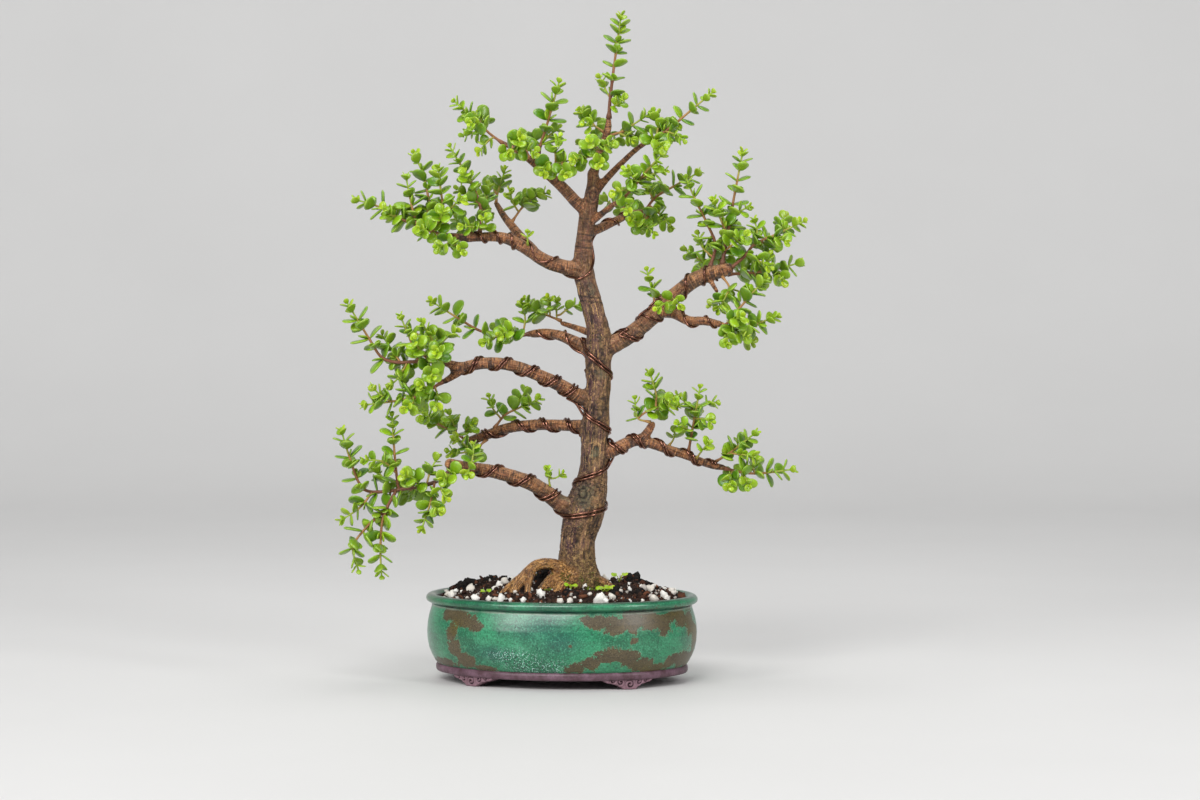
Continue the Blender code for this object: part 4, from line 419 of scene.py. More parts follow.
        (76, 76, 452)], [(84, 51, 482), (78, 42, 494), (76, 34, 502)], [(82, 51, 475), (78, 38, 464),
        (68, 22, 459), (62, 6, 461)], [(70, 24, 460), (78, 16, 454), (84, 8, 447)]],
    "right_back_rear": [
        [(52, 37, 466), (54, 54, 474), (54, 72, 482), (52, 90, 490)], [(54, 56, 475), (42, 64, 478),
        (32, 74, 484)]],
    "right_inner_riser": [
        [(140, -10, 415), (145, -7, 436), (136, -6, 459), (125, -6, 481), (116, -6, 502)], [(142, -8, 424),
        (132, 0, 434), (128, 4, 446)]],
    "right_riser": [
        [(152, -13, 418), (155, -10, 436), (159, -8, 458), (164, -8, 486), (172, -8, 528)], [(157, -9, 446),
        (148, -16, 466), (143, -20, 480)], [(160, -8, 464), (170, -16, 470), (178, -22, 474)],
        [(154, -11, 430), (166, -26, 440), (174, -38, 446)], [(155, -10, 438), (160, 10, 446),
        (168, 28, 452)]],
    "right_end": [
        [(160, -17, 413), (174, -18, 425), (184, -18, 437), (206, -16, 447), (232, -12, 459)],
        [(184, -18, 437), (186, -20, 450), (183, -20, 461)], [(200, -16, 445), (208, -28, 442),
        (214, -38, 440)], [(190, -18, 440), (196, -2, 436), (204, 12, 432)], [(176, -18, 428),
        (188, -26, 420), (198, -34, 414)], [(208, -16, 448), (212, -4, 456), (214, 8, 464)]],
    "right_end_lower": [
        [(159, -14, 407), (176, -8, 408), (202, -2, 411), (229, 4, 418)], [(182, -6, 409), (188, 10, 404),
        (196, 24, 400)], [(204, -2, 411), (208, -14, 406), (212, -24, 400)], [(190, -5, 410),
        (196, -12, 418), (198, -18, 426)], [(172, -9, 408), (176, 8, 414), (180, 24, 420)]],
    "right_under": [
        [(152, -21, 404), (158, -28, 394), (153, -34, 382), (147, -38, 373)], [(158, -28, 393),
        (168, -34, 390), (176, -40, 386)], [(155, -32, 386), (148, -26, 380), (140, -20, 376)]],
    "right_fork_end": [
        [(151, -47, 358), (162, -56, 353), (173, -70, 346)], [(154, -49, 357), (168, -46, 374),
        (180, -43, 388), (193, -40, 402)], [(156, -51, 356), (178, -52, 357), (203, -50, 365)],
        [(157, -52, 355), (162, -66, 362), (168, -78, 366)], [(160, -54, 354), (156, -68, 346),
        (154, -80, 340)], [(158, -53, 355), (170, -38, 346), (180, -26, 340)]],
    "right_sprig": [
        [(82, -9, 373), (84, -8, 384), (80, -6, 398), (77, -6, 410)]],
    "right_fork_base": [
        [(100, -19, 385), (103, -30, 382), (108, -44, 377)], [(102, -28, 382), (94, -36, 378),
        (87, -44, 374)]],
    "right_back": [
        [(128, -8, 408), (134, 8, 414), (142, 28, 422), (150, 50, 430)], [(138, 18, 418), (126, 30, 424),
        (116, 40, 432)], [(143, 30, 423), (158, 36, 420), (170, 46, 420)]],
    "low_right_end": [
        [(157, 16, 211), (176, 13, 207), (196, 12, 207), (224, 9, 211)], [(172, 14, 208), (176, 0, 202),
        (178, -12, 196)], [(164, 15, 210), (160, 4, 202), (160, -8, 196)], [(186, 12, 207), (184, 26, 212),
        (188, 40, 216)], [(166, 15, 209), (164, 30, 202), (164, 44, 196)]],
    "low_right_riser": [
        [(146, 16, 218), (160, 11, 227), (174, 8, 238), (186, 6, 248)], [(160, 11, 227), (174, 0, 226),
        (186, -8, 224)], [(168, 9, 233), (172, 24, 236), (176, 38, 240)]],
    "low_right_upright": [
        [(119, 13, 229), (122, 10, 246), (125, 9, 264), (128, 8, 280), (130, 8, 292)], [(122, 10, 248),
        (114, 0, 254), (108, -8, 258)], [(125, 9, 262), (134, 0, 262), (141, -8, 259)], [(126, 9, 268),
        (116, 16, 278), (108, 20, 284)], [(127, 9, 274), (138, 12, 278), (146, 14, 278)], [(124, 9, 258),
        (126, 24, 262), (128, 40, 268)]],
    "low_right_stub_twigs": [
        [(79, 3, 259), (68, 6, 262), (66, 8, 272), (65, 8, 281)], [(68, 7, 263), (80, 3, 271), (93, 2, 274),
        (106, 3, 275)], [(86, 3, 273), (86, 5, 288), (80, 7, 308)], [(94, 2, 274), (99, -8, 278),
        (103, -18, 282)], [(88, 12, 271), (92, 28, 276), (96, 42, 282)]],
    "low_right_mid": [
        [(100, 17, 235), (104, 26, 240), (106, 38, 248)]],
    "low_right_front": [
        [(127, 10, 222), (132, 0, 230), (138, -8, 238)]],
}


def unit(vectors):
    """Vectors divided by their lengths."""
    vectors = np.asarray(vectors, float)
    return vectors / np.maximum(np.linalg.norm(vectors, axis=-1, keepdims=True), 1e-9)


def turned(vector, axis, angle):
    """A vector turned about a unit axis: v cos a + (axis x v) sin a + axis (axis . v)(1 - cos a)."""
    return (vector * np.cos(angle) + np.cross(axis, vector) * np.sin(angle)
            + axis * axis.dot(vector) * (1 - np.cos(angle)))


def smooth_route(points, step):
    """Points about `step` apart on a Catmull-Rom curve through the route's own points."""
    points = np.asarray(points, float)
    ends = np.vstack([2 * points[0] - points[1], points, 2 * points[-1] - points[-2]])
    line = [points[:1]]
    for i in range(1, len(ends) - 2):
        before, start, end, after = ends[i - 1:i + 3]
        count = max(1, int(round(np.linalg.norm((end - start)[:3]) / step)))
        t = (np.arange(1, count + 1) / count)[:, None]
        line.append(0.5 * (2 * start + (end - before) * t
                           + (2 * before - 5 * start + 4 * end - after) * t ** 2
                           + (3 * start - before - 3 * end + after) * t ** 3))
    return np.vstack(line)


def distances_along(line):
    """How far along a line each of its points lies."""
    return np.concatenate([[0], np.cumsum(np.linalg.norm(np.diff(line, axis=0), axis=1))])


def read_along(line, along, places):
    """A line's numbers at other places along it, straight between its points."""
    return np.stack([np.interp(places, along, column) for column in line.T], axis=-1)


def cells_value(cells, seed):
    """A number from 0 to 1 for each whole-number cell: its numbers times primes, with the bits mixed."""
    mixed = (cells.astype(np.int64) * np.array([73856093, 19349663, 83492791])).sum(-1) + seed * 15485863
    mixed = (mixed ^ (mixed >> 13)) * 1274126177
    mixed = mixed ^ (mixed >> 16)
    return (mixed & 0xFFFFF) / 0xFFFFF


def noise(places, seed=0):
    """Smooth noise from 0 to 1: the values of the eight cells round a place, blended by 3t^2 - 2t^3."""
    low = np.floor(places)
    t = places - low
    t = t * t * (3 - 2 * t)
    total = np.zeros(places.shape[:-1])
    for corner in np.ndindex(2, 2, 2):
        weight = np.where(np.array(corner) == 1, t, 1 - t).prod(-1)
        total += weight * cells_value(low + corner, seed)
    return total


def rough_noise(places, octaves, seed=0):
    """Noise summed over octaves, each twice as fine and half as strong, from 0 to 1."""
    total = 0
    weights = 0
    for octave in range(octaves):
        total = total + noise(places * 2 ** octave, seed + octave) / 2 ** octave
        weights += 1 / 2 ** octave
    return total / weights


def bump_of(places, middle, radius):
    """A soft hill: e to the minus (distance / radius) squared."""
    return np.exp(-((places - np.asarray(middle)) ** 2).sum(-1) / radius ** 2)


def ridge(values, middle, width):
    """A soft ridge: e to the minus ((value - middle) / width) squared."""
    return np.exp(-((values - middle) / width) ** 2)


def crease(values, width):
    """1 where noise crosses its middle, falling to 0 within width of it: 1 - |n - 1/2| / width."""
    return np.clip(1 - np.abs(values - 0.5) / width, 0, 1)


def round_angles(count):
    """Angles spread evenly round a circle."""
    return 2 * np.pi * np.arange(count) / count


def grid_quads(rows, columns, closed=True):
    """Quads between each corner of a grid of rows, its neighbour along the row and those in the next row."""
    row, column = np.indices((rows - 1, columns if closed else columns - 1))
    after = (column + 1) % columns
    quads = np.stack([row * columns + column, row * columns + after,
                      (row + 1) * columns + after, (row + 1) * columns + column], axis=-1)
    return quads.reshape(-1, 4)


def closed_faces(rows, columns, copies=1):
    """Faces of closed grids one after another: quads between rows, and fans to two end corners after them."""
    count = rows * columns
    column = np.arange(columns)
    after = (column + 1) % columns
    last = count - columns
    fans = np.vstack([np.stack([after, column, np.full(columns, count)], axis=-1),
                      np.stack([last + column, last + after, np.full(columns, count + 1)], axis=-1)])
    steps = (np.arange(copies) * (count + 2))[:, None, None]
    return [(grid_quads(rows, columns) + steps).reshape(-1, 4), (fans + steps).reshape(-1, 3)]


def frames(line):
    """Two directions square to a line at each point, carried along it without twist."""
    tangents = unit(np.gradient(line, axis=0))
    normal = np.cross(tangents[0], (0, 1, 0.01) if abs(tangents[0][1]) < 0.9 else (1, 0, 0))
    normals = []
    for tangent in tangents:
        normal = unit(normal - tangent * tangent.dot(normal))
        normals.append(normal)
    return np.array(normals), np.cross(tangents, normals)


def tube(line, radii, sides):
    """A closed tube: each ring is centre + radius (cos a normal + sin a across), with a fan over each end."""
    line = np.asarray(line, float)
    normals, across = frames(line)
    angles = round_angles(sides)
    ring = np.cos(angles)[:, None] * normals[:, None] + np.sin(angles)[:, None] * across[:, None]
    corners = line[:, None] + np.asarray(radii)[:, None, None] * ring
    return np.vstack([corners.reshape(-1, 3), line[0], line[-1]]), closed_faces(len(line), sides)


def round_ended(line, radii):
    """A line and its radii with a half-round end added: radius r cos b at r sin b beyond the last point."""
    bends = np.radians([24, 46, 64, 78, 87])
    tip = unit(line[-1] - line[-2])
    beyond = line[-1] + np.outer(radii[-1] * np.sin(bends), tip)
    return np.vstack([line, beyond]), np.concatenate([radii, radii[-1] * np.cos(bends)])


def joined(shapes):
    """Several shapes' corners one after another, and their faces counted on to match."""
    corners = []
    faces = []
    count = 0
    for shape_corners, shape_faces in shapes:
        faces += [part + count for part in shape_faces]
        corners.append(shape_corners)
        count += len(shape_corners)
    return np.vstack(corners), faces


def put_places(mesh, places):
    """Move a mesh's corners to places given in millimetres."""
    mesh.vertices.foreach_set("co", (np.asarray(places) * MM).astype(np.float32).ravel())
    mesh.update()


def new_mesh(name, corners, faces):
    """A mesh in metres from corners in millimetres and arrays of quads and triangles."""
    mesh = bpy.data.meshes.new(name)
    sizes = np.concatenate([np.full(len(part), part.shape[1]) for part in faces])
    loops = np.concatenate([part.ravel() for part in faces])
    mesh.vertices.add(len(corners))
    put_places(mesh, corners)
    mesh.loops.add(len(loops))
    mesh.loops.foreach_set("vertex_index", loops.astype(np.int32))
    mesh.polygons.add(len(sizes))
    mesh.polygons.foreach_set("loop_start", (np.cumsum(sizes) - sizes).astype(np.int32))
    mesh.update(calc_edges=True)
    mesh.validate()
    mesh.shade_smooth()
    return mesh


def store(mesh, **values):
    """Keep a number or a vector for each corner of a mesh, for its material to read."""
    for name, value in values.items():
        value = np.asarray(value, np.float32)
        kind, field = ("FLOAT", "value") if value.ndim == 1 else ("FLOAT_VECTOR", "vector")
        mesh.attributes.new(name, kind, "POINT").data.foreach_set(field, value.ravel())


def placed(name, data):
    """A new object of a mesh, a lamp or a camera, put in the scene."""
    thing = bpy.data.objects.new(name, data)
    bpy.context.scene.collection.objects.link(thing)
    return thing


def make_piece(name, mesh, materials, replaces=()):
    """Show a mesh as a piece that rides on the one body, and hide the nodes that it replaces."""
    piece = placed(name, mesh)
    for material in materials:
        mesh.materials.append(material)
    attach(piece, "root")
    if replaces:
        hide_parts(*replaces)
    return piece


def applied(thing):
    """A copy of an object's mesh with its modifiers applied."""
    evaluated = thing.evaluated_get(bpy.context.evaluated_depsgraph_get())
    return bpy.data.meshes.new_from_object(evaluated)


def corners_of(mesh):
    """A mesh's corners in millimetres, and their normals."""
    places, normals = np.zeros((2, len(mesh.vertices) * 3), np.float32)
    mesh.vertices.foreach_get("co", places)
    mesh.vertex_normals.foreach_get("vector", normals)
    return places.reshape(-1, 3).astype(float) / MM, normals.reshape(-1, 3).astype(float)


def smoothed(values, edges, turns, share=0.5):
    """Values at a mesh's corners, each moved a share of the way to its neighbours' mean, some turns over."""
    counts = np.bincount(edges.ravel(), minlength=len(values)).astype(float)
    counts = np.maximum(counts, 1).reshape([-1] + [1] * (values.ndim - 1))
    for _ in range(turns):
        total = np.zeros_like(values)
        np.add.at(total, edges[:, 0], values[edges[:, 1]])
        np.add.at(total, edges[:, 1], values[edges[:, 0]])
        values = values + share * (total / counts - values)
    return values


def tone(colour):
    """A colour given as it looks on a screen, from 0 to 255, in the linear light that shaders use."""
    return tuple(((np.array(colour) / 255 + 0.055) / 1.055) ** 2.4) + (1.0,)


class Value:
    """A shader socket that adds a Math node when it is reckoned with."""

    def __init__(self, paint, socket):
        self.paint = paint
        self.socket = socket

    def math(self, operation, *values, clamp=False):
        settings = {"operation": operation, "use_clamp": clamp}
        return self.paint.add("ShaderNodeMath", settings, dict(enumerate(values)))

    def __add__(self, other):
        return self.math("ADD", self, other)

    def __sub__(self, other):
        return self.math("SUBTRACT", self, other)

    def __rsub__(self, other):
        return self.math("SUBTRACT", other, self)

    def __mul__(self, other):
        return self.math("MULTIPLY", self, other)

    def clamped(self):
        return self.math("ADD", self, 0.0, clamp=True)

    def step(self, low, high):
        """0 below low and 1 above high, straight between them."""
        return self.math("DIVIDE", self - low, high - low, clamp=True)


class Paint:
    """One procedural material: add makes any node, and what varies goes to the shader's sockets."""

    def __init__(self, name, **constants):
        self.material = bpy.data.materials.new(name)
        self.material.use_nodes = True
        self.tree = self.material.node_tree
        self.finish(**constants)

    def add(self, kind, settings=None, inputs=None, output=0):
        """The Value of one output of a new node, with its settings and its sockets' values or links."""
        node = self.tree.nodes.new(kind)
        for setting, value in (settings or {}).items():
            setattr(node, setting, value)
        for socket, value in (inputs or {}).items():
            self.feed(node.inputs[socket], value)
        return Value(self, node.outputs[output])

    def feed(self, socket, value):
        if isinstance(value, Value):
            self.tree.links.new(value.socket, socket)
        else:
            socket.default_value = value

    def attributes(self, *names, output="Fac"):
        """What the mesh keeps at its corners under each name: numbers, or with another output vectors."""
        return [self.add("ShaderNodeAttribute", {"attribute_name": name}, output=output) for name in names]

    def place(self):
        """The place on the object, in metres."""
        return self.add("ShaderNodeTexCoord", output="Object")

    def noises(self, vector, *grains):
        """A noise for each (scale, detail, roughness)."""
        sockets = ("Vector", "Scale", "Detail", "Roughness")
        return [self.add("ShaderNodeTexNoise", inputs=dict(zip(sockets, (vector, *grain))), output="Fac")
                for grain in grains]

    def spots(self, vector, scale):
        """Distance to the nearest of many scattered points, in cells."""
        return self.add("ShaderNodeTexVoronoi", inputs={"Vector": vector, "Scale": scale}, output="Distance")

    def part(self, vector, axis):
        """A vector's part along X, Y or Z."""
        return self.add("ShaderNodeSeparateXYZ", inputs={"Vector": vector}, output=axis)

    def mix(self, share, first, second):
        """One colour laid over another by a share, each made by nodes or given as tone takes it."""
        first, second = (tone(colour) if isinstance(colour, tuple) else colour for colour in (first, second))
        return self.add("ShaderNodeMix", {"data_type": "RGBA"}, {"Factor": share, "A": first, "B": second},
                        output="Result")

    def coats(self, colour, *coats):
        """A colour with others laid over it in turn, each given as (share, colour)."""
        for share, over in coats:
            colour = self.mix(share, colour, over)
        return colour

    def finish(self, bump=None, **sockets):
        """Feed the shader's sockets, and its Normal with a bump given as (height, distance, strength)."""
        if bump:
            inputs = dict(zip(("Height", "Distance", "Strength"), bump))
            sockets["Normal"] = self.add("ShaderNodeBump", inputs=inputs)
        for socket, value in sockets.items():
            self.feed(self.tree.nodes["Principled BSDF"].inputs[socket.replace("_", " ")], value)
        return self.material


class Field:
    """Distance to a growing set of tapered round-ended rods."""

    def __init__(self):
        self.rods = np.zeros((0, 8))

    def add(self, line, radii):
        rods = np.hstack([line[:-1], line[1:], radii[:-1, None], radii[1:, None]])
        self.rods = np.vstack([self.rods, rods])

    def around(self, places, reach):
        """The part of the field that lies within reach of any of the places."""
        part = Field()
        if len(self.rods):
            middles = (self.rods[:, :3] + self.rods[:, 3:6]) / 2
            away = np.linalg.norm(middles[:, None] - places, axis=2).min(1)
            part.rods = self.rods[away < reach]
        return part

    def nearest(self, places):
        """Each place's distance from the nearest rod, the way off it, its number and the share along."""
        start, end = self.rods[:, :3], self.rods[:, 3:6]
        along = end - start
        offset = places[:, None] - start
        share = np.clip((offset * along).sum(2) / (along * along).sum(1), 0, 1)
        away = offset - share[..., None] * along
        length = np.linalg.norm(away, axis=2)
        gap = length - (self.rods[:, 6] + share * (self.rods[:, 7] - self.rods[:, 6]))
        best = gap.argmin(1)
        rows = np.arange(len(places))
        way = away[rows, best] / np.maximum(length[rows, best], 1e-6)[:, None]
        return gap[rows, best], way, best, share[rows, best]


class Wood:
    """The tree's skin: its routes' round tubes joined in one surface, and each corner's place on its limb."""

    def __init__(self):
        self.field = Field()
        self.limb_of_rod = []
        shapes = []
        for number, route in enumerate([TRUNK] + list(LIMBS.values()) + list(ROOTS.values())):
            line = smooth_route(route, 2.0)
            shapes.append(tube(*round_ended(line[:, :3], line[:, 3]), WOOD_SIDES))
            coarse = smooth_route(route, 5.0)
            self.field.add(coarse[:, :3], coarse[:, 3])
            self.limb_of_rod += [number] * (len(coarse) - 1)
        blank = placed("wood blank", new_mesh("wood blank", *joined(shapes)))
        skin = blank.modifiers.new("skin", "REMESH")
        skin.mode = "VOXEL"
        skin.voxel_size = WOOD_GRID * MM
        self.mesh = applied(blank)
        bpy.data.objects.remove(blank)
        self.mesh.name = "wood"
        self.mesh.shade_smooth()
        edges = np.zeros(len(self.mesh.edges) * 2, np.int32)
        self.mesh.edges.foreach_get("vertices", edges)
        self.edges = edges.reshape(-1, 2)
        self.places = smoothed(corners_of(self.mesh)[0], self.edges, 2)
        self.find_axes()
        share = np.clip(self.radius / 22, 0.06, 0.5)[:, None]
        self.places = smoothed(self.places, self.edges, 12, share)
        put_places(self.mesh, self.places)

    def find_axes(self):
        """Each corner's nearest place on a limb's axis, the limb's radius there and which limb it is."""
        rods = self.field.rods
        parts = np.array_split(self.places, len(self.places) // 4000 + 1)
        found = [self.field.nearest(part) for part in parts]
        best, share = (np.concatenate([part[k] for part in found]) for k in (2, 3))
        self.axis = rods[best, :3] + share[:, None] * (rods[best, 3:6] - rods[best, :3])
        self.radius = rods[best, 6] + share * (rods[best, 7] - rods[best, 6])
        self.limb = np.array(self.limb_of_rod)[best]


def make_wood():
    """Bark: corners move along their normals by lumps - old cracks + young rings + roots' ridges + scars."""
    wood = Wood()
    mesh, edges, places = wood.mesh, wood.edges, wood.places
    out = places - wood.axis
    root = smoothed((wood.limb >= 1 + len(LIMBS)).astype(float), edges, 8)
    on_trunk = (wood.limb == 0) * np.clip((OLD_BARK_TOP - places[:, 2]) / 160, 0.45, 1)
    old = np.maximum(on_trunk, np.clip((wood.radius - 6) / 9, 0, 0.6)) * (1 - root)
    old = smoothed(old, edges, 14)
    young = (1 - old) * (1 - root)
    axis = smoothed(wood.axis, edges, 6)
    # Cracks run along a limb where noise is drawn out along its axis, and rings where it is drawn out round.
    lengthwise = out * 0.16 + axis * 0.035
    warp = (rough_noise(places * 0.09, 2, 11) - 0.5) * 1.2
    cracks = crease(rough_noise(lengthwise + warp[:, None] * 0.35, 2, 3), 0.11)
    plates = rough_noise(out * 0.11 + axis * 0.075, 3, 5)
    crosswise = crease(noise(out * 0.07 + axis * 0.26, 8), 0.12) * (rough_noise(places * 0.13, 2, 15) > 0.47)
    ridges = rough_noise(out * 0.42 + axis * 0.03, 2, 9)
    lumps = rough_noise(places * 0.055, 3, 2) - 0.5
    relief = lumps * (1.0 + 1.4 * old) + (plates - 0.5) * (0.7 + 1.3 * old)
    relief -= cracks * (0.25 + 0.75 * old) * (1 - root) * 1.1
    relief += crosswise * young * 0.2
    relief += (ridges - 0.5) * root * 2.4
    scar = np.zeros(len(relief))
    for x, y, z, radius, rise in SCARS:
        middle = places[np.linalg.norm(places - (x, y, z), axis=1).argmin()]
        off = (places - middle) * (1.25, 1.0, 0.9)
        away = np.linalg.norm(off, axis=1) / radius + (rough_noise(places * 0.3, 2, 21) - 0.5) * 0.7
        relief += rise * (ridge(away, 1, 0.3) + 0.6 * ridge(away, 0.35, 0.22) - 0.8 * ridge(away, 0.68, 0.2))
        scar = np.maximum(scar, (ridge(away, 0.68, 0.16) + 0.8 * ridge(away, 1.3, 0.14)) * min(1.0, rise))
    places = places + corners_of(mesh)[1] * (relief * np.clip(wood.radius / 8, 0.35, 1))[:, None]
    put_places(mesh, places)
    lichen = np.max([strength * bump_of(places, spot, radius) for *spot, radius, strength in LICHENS], axis=0)
    moss = np.max([bump_of(places, spot, radius) for *spot, radius in MOSSES], axis=0)
    low = np.clip((STAIN_TOP - places[:, 2]) / STAIN_DEPTH, 0, 1) * (1 - root * 0.6)
    slanted = places[:, 2] + out[:, 0] * 0.12
    lines = [ridge(slanted, height, 0.75) * (wood.limb == 0) for height in TRUNK_RINGS]
    rings = np.max([crosswise * young] + lines, axis=0)
    store(mesh, off=out, axis=axis, old=old, root=root, cracks=cracks * old, scar=scar, lichen=lichen,
          moss=moss, low=low, rings=rings)
    return make_piece("wood", mesh, [bark_paint()], ["tree_wood"]), wood.field


def bark_paint():
    """Old bark in brown plates with ochre cracks, young bark redder and ringed, roots striped tan."""
    paint = Paint("bark", Specular_IOR_Level=0.45)
    off, axis = paint.attributes("off", "axis", output="Vector")
    old, root, cracks, low, rings, lichen, scar, moss = paint.attributes(
        "old", "root", "cracks", "low", "rings", "lichen", "scar", "moss")
    [streaks] = paint.noises(drawn_out(paint, off, axis, 0.85, 0.10), (1.0, 4.0, 0.7))
    [fissures] = paint.noises(drawn_out(paint, off, axis, 0.42, 0.055), (1.0, 3.0, 0.6))
    [bands] = paint.noises(drawn_out(paint, off, axis, 0.10, 0.9), (1.0, 3.0, 0.6))
    patches, broad, fine, grit = paint.noises(
        paint.place(), (95.0, 5.0, 0.75), (30.0, 3.0, 0.6), (760.0, 3.0, 0.65), (310.0, 3.0, 0.75))
    side, up = paint.part(off, "X"), paint.part(off, "Z")
    old_bark = paint.coats(
        (136, 98, 78),
        (patches.step(0.42, 0.58), (90, 56, 55)),
        # Ochre towards +X and dark mauve towards -X: partly the bark's own colour, partly painted light on
        # the right side and painted shade on the left.
        ((side * 0.035 + broad * 2.2 - 1.0).step(0.0, 0.5) * 0.45, (158, 118, 72)),
        ((side * -0.035 + broad * 1.6 - 0.7).step(0.0, 0.5) * 0.7, (84, 52, 62)),
        (streaks.step(0.54, 0.60) * 0.85, (216, 172, 108)),
        (fissures.step(0.43, 0.37) * 0.9, (32, 22, 22)),
        (grit.step(0.57, 0.64) * 0.65, (216, 176, 122)),
        (grit.step(0.42, 0.36) * 0.85, (26, 20, 20)))
    young_bark = paint.coats(
        (172, 110, 70),
        (streaks.step(0.42, 0.62), (72, 41, 29)),
        # Painted light and shade: a young limb's upper side paler and its underside darker, as if lit from
        # above.
        ((up * 0.14).step(0.0, 0.8) * 0.55, (214, 160, 118)),
        ((up * -0.14).step(0.0, 0.8) * 0.8, (56, 33, 27)),
        (broad.step(0.54, 0.66) * 0.4, (98, 78, 50)),
        (bands.step(0.53, 0.64) * 0.7, (232, 166, 108)),
        (bands.step(0.43, 0.35) * 0.8, (28, 17, 16)),
        (grit.step(0.6, 0.68) * 0.65, (206, 164, 116)))
    roots = paint.coats(
        (92, 52, 28),
        (streaks.step(0.42, 0.58), (222, 164, 96)),
        (patches.step(0.5, 0.62) * 0.75, (108, 64, 40)),
        (grit.step(0.54, 0.64) * 0.8, (36, 21, 13)),
        # Pale gold flecks: painted highlights, small glints on the roots.
        (fine.step(0.56, 0.68) * 0.6, (246, 206, 136)))
    mossy = (moss * 0.6 + (grit - 0.5) * 1.6).step(0.46, 0.62) * fine.step(0.38, 0.52)
    colour = paint.coats(
        young_bark,
        (old.step(0.15, 0.75), old_bark),
        (cracks * patches.step(0.36, 0.5), (38, 26, 22)),
        (cracks * patches.step(0.56, 0.45) * fine.step(0.35, 0.6) * 0.8, (184, 146, 94)),
        (low * 0.75, (130, 98, 56)),
        (low * grit.step(0.50, 0.58), (226, 188, 116)),
        (low * fine.step(0.52, 0.58) * 0.9, (44, 32, 20)),
        (root, roots),
        ((rings * 0.95).clamped(), (30, 18, 17)),
        ((lichen * 0.8 + (patches - 0.5) * 1.2 + (grit - 0.5) * 0.9).step(0.30, 0.62) * 0.6, (112, 116, 90)),
        ((scar * 0.95).clamped(), (30, 22, 20)),
        (mossy, paint.mix(patches.step(0.4, 0.6), (70, 76, 26), (118, 132, 40))))
    colour = paint.mix(fine.step(0.3, 0.62), paint.mix(0.45, colour, (20, 14, 13)), colour)
    height = fine * 0.4 + grit * 0.9 + streaks * 0.9 + fissures.step(0.36, 0.5) * 0.9 + mossy * fine * 1.5
    return paint.finish((height, 0.0014, 0.9), Base_Color=colour, Roughness=grit * 0.32 + 0.14 + old * 0.24)


def drawn_out(paint, off, axis, across, along):
    """The place on a limb with its part across the limb and its part along it each scaled its own way."""
    parts = [paint.add("ShaderNodeVectorMath", {"operation": "SCALE"}, {0: vector, "Scale": scale})
             for vector, scale in ((off, across), (axis, along))]
    return paint.add("ShaderNodeVectorMath", {"operation": "ADD"}, dict(enumerate(parts)))


def wound_points(stretch, beside):
    """A strand's points along one stretch, or those of a strand beside it, always on the same side of it."""
    limb, knots = stretch
    on_trunk = limb == "trunk"
    route = smooth_route(TRUNK if on_trunk else LIMBS[limb], 3.0)
    knots = np.array(knots, float)
    angles, places = knots.T if on_trunk else knots.T[::-1]
    places = places - beside * np.sign(angles[-1] - angles[-2])
    counts = np.maximum(1, np.ceil(np.abs(np.diff(angles)) / WIRE_STEP)).astype(int)
    knot_shares = [k + i / count for k, count in enumerate(counts) for i in range(count)] + [len(counts)]
    angles = np.radians(np.interp(knot_shares, range(len(knots)), angles))
    places = np.interp(knot_shares, range(len(knots)), places)
    key = 2 if on_trunk else 0
    route = route[route[:, key].argsort()]
    points = []
    for angle, place in zip(angles, places):
        *middle, radius = read_along(route, route[:, key], place)
        radius += WIRE_CLEARANCE + WIRE_RADIUS
        if on_trunk:
            points.append(middle + radius * np.array((np.cos(angle), np.sin(angle), 0)))
            continue
        ahead, behind = (read_along(route[:, :3], route[:, 0], place + step) for step in (2, -2))
        tangent = unit(ahead - behind)
        up = unit(np.array((0, 0, 1.0)) - tangent * tangent[2])
        points.append(middle + radius * (np.cos(angle) * up + np.sin(angle) * np.cross(tangent, up)))
    return points


def settled(points, wood, strands):
    """A strand's points moved until it lies clear on the wood, round shoots and over other strands."""
    points = np.array(points, float)
    shares = np.arange(WIRE_SAMPLES)[:, None, None] / WIRE_SAMPLES
    needed = WIRE_RADIUS + WIRE_CLEARANCE
    wood = wood.around(points, WIRE_REACH)
    strands = strands.around(points, WIRE_REACH)
    for turn in range(SETTLING_TURNS):
        if turn < SMOOTHING_TURNS:
            points[1:-1] += WIRE_STRAIGHTENING * (points[:-2] + points[2:] - 2 * points[1:-1])
        gap, way, _, _ = wood.nearest(points)
        stands_off = np.where(gap - needed < WIRE_PULL_REACH, np.maximum(gap - needed, 0), 0)
        points -= WIRE_PULL * stands_off[:, None] * way
        for field, gap_needed in ((strands, WIRE_RADIUS + 0.1), (wood, needed)):
            if not len(field.rods):
                continue
            samples = ((1 - shares) * points[:-1] + shares * points[1:]).reshape(-1, 3)
            gap, way, _, _ = field.nearest(samples)
            push = (np.maximum(gap_needed - gap, 0)[:, None] * way).reshape(WIRE_SAMPLES, -1, 3)
            for share, row in zip(shares.ravel(), push):
                points[:-1] += WIRE_YIELD * (1 - share) * row
                points[1:] += WIRE_YIELD * share * row
    return points


def laid(points, bark):
    """A strand's points brought to one height over the bark, but for those that stand well off it."""
    bark_tree = BVHTree.FromObject(bark, bpy.context.evaluated_depsgraph_get())
    for _ in range(LAYING_TURNS):
        moves = np.zeros(points.shape)
        for move, point in zip(moves, points):
            spot, normal, _, _ = bark_tree.find_nearest(Vector(point) * MM)
            off = np.array(Vector(point) - spot / MM)
            height = np.linalg.norm(off) * np.sign(off @ normal)
            if height < LOOSE_HEIGHT:
                move[:] = (LAID_HEIGHT - height) * np.array(normal)
        moves[1:-1] = (moves[:-2] + 2 * moves[1:-1] + moves[2:]) / 4
        points = points + moves * 0.7
    return points


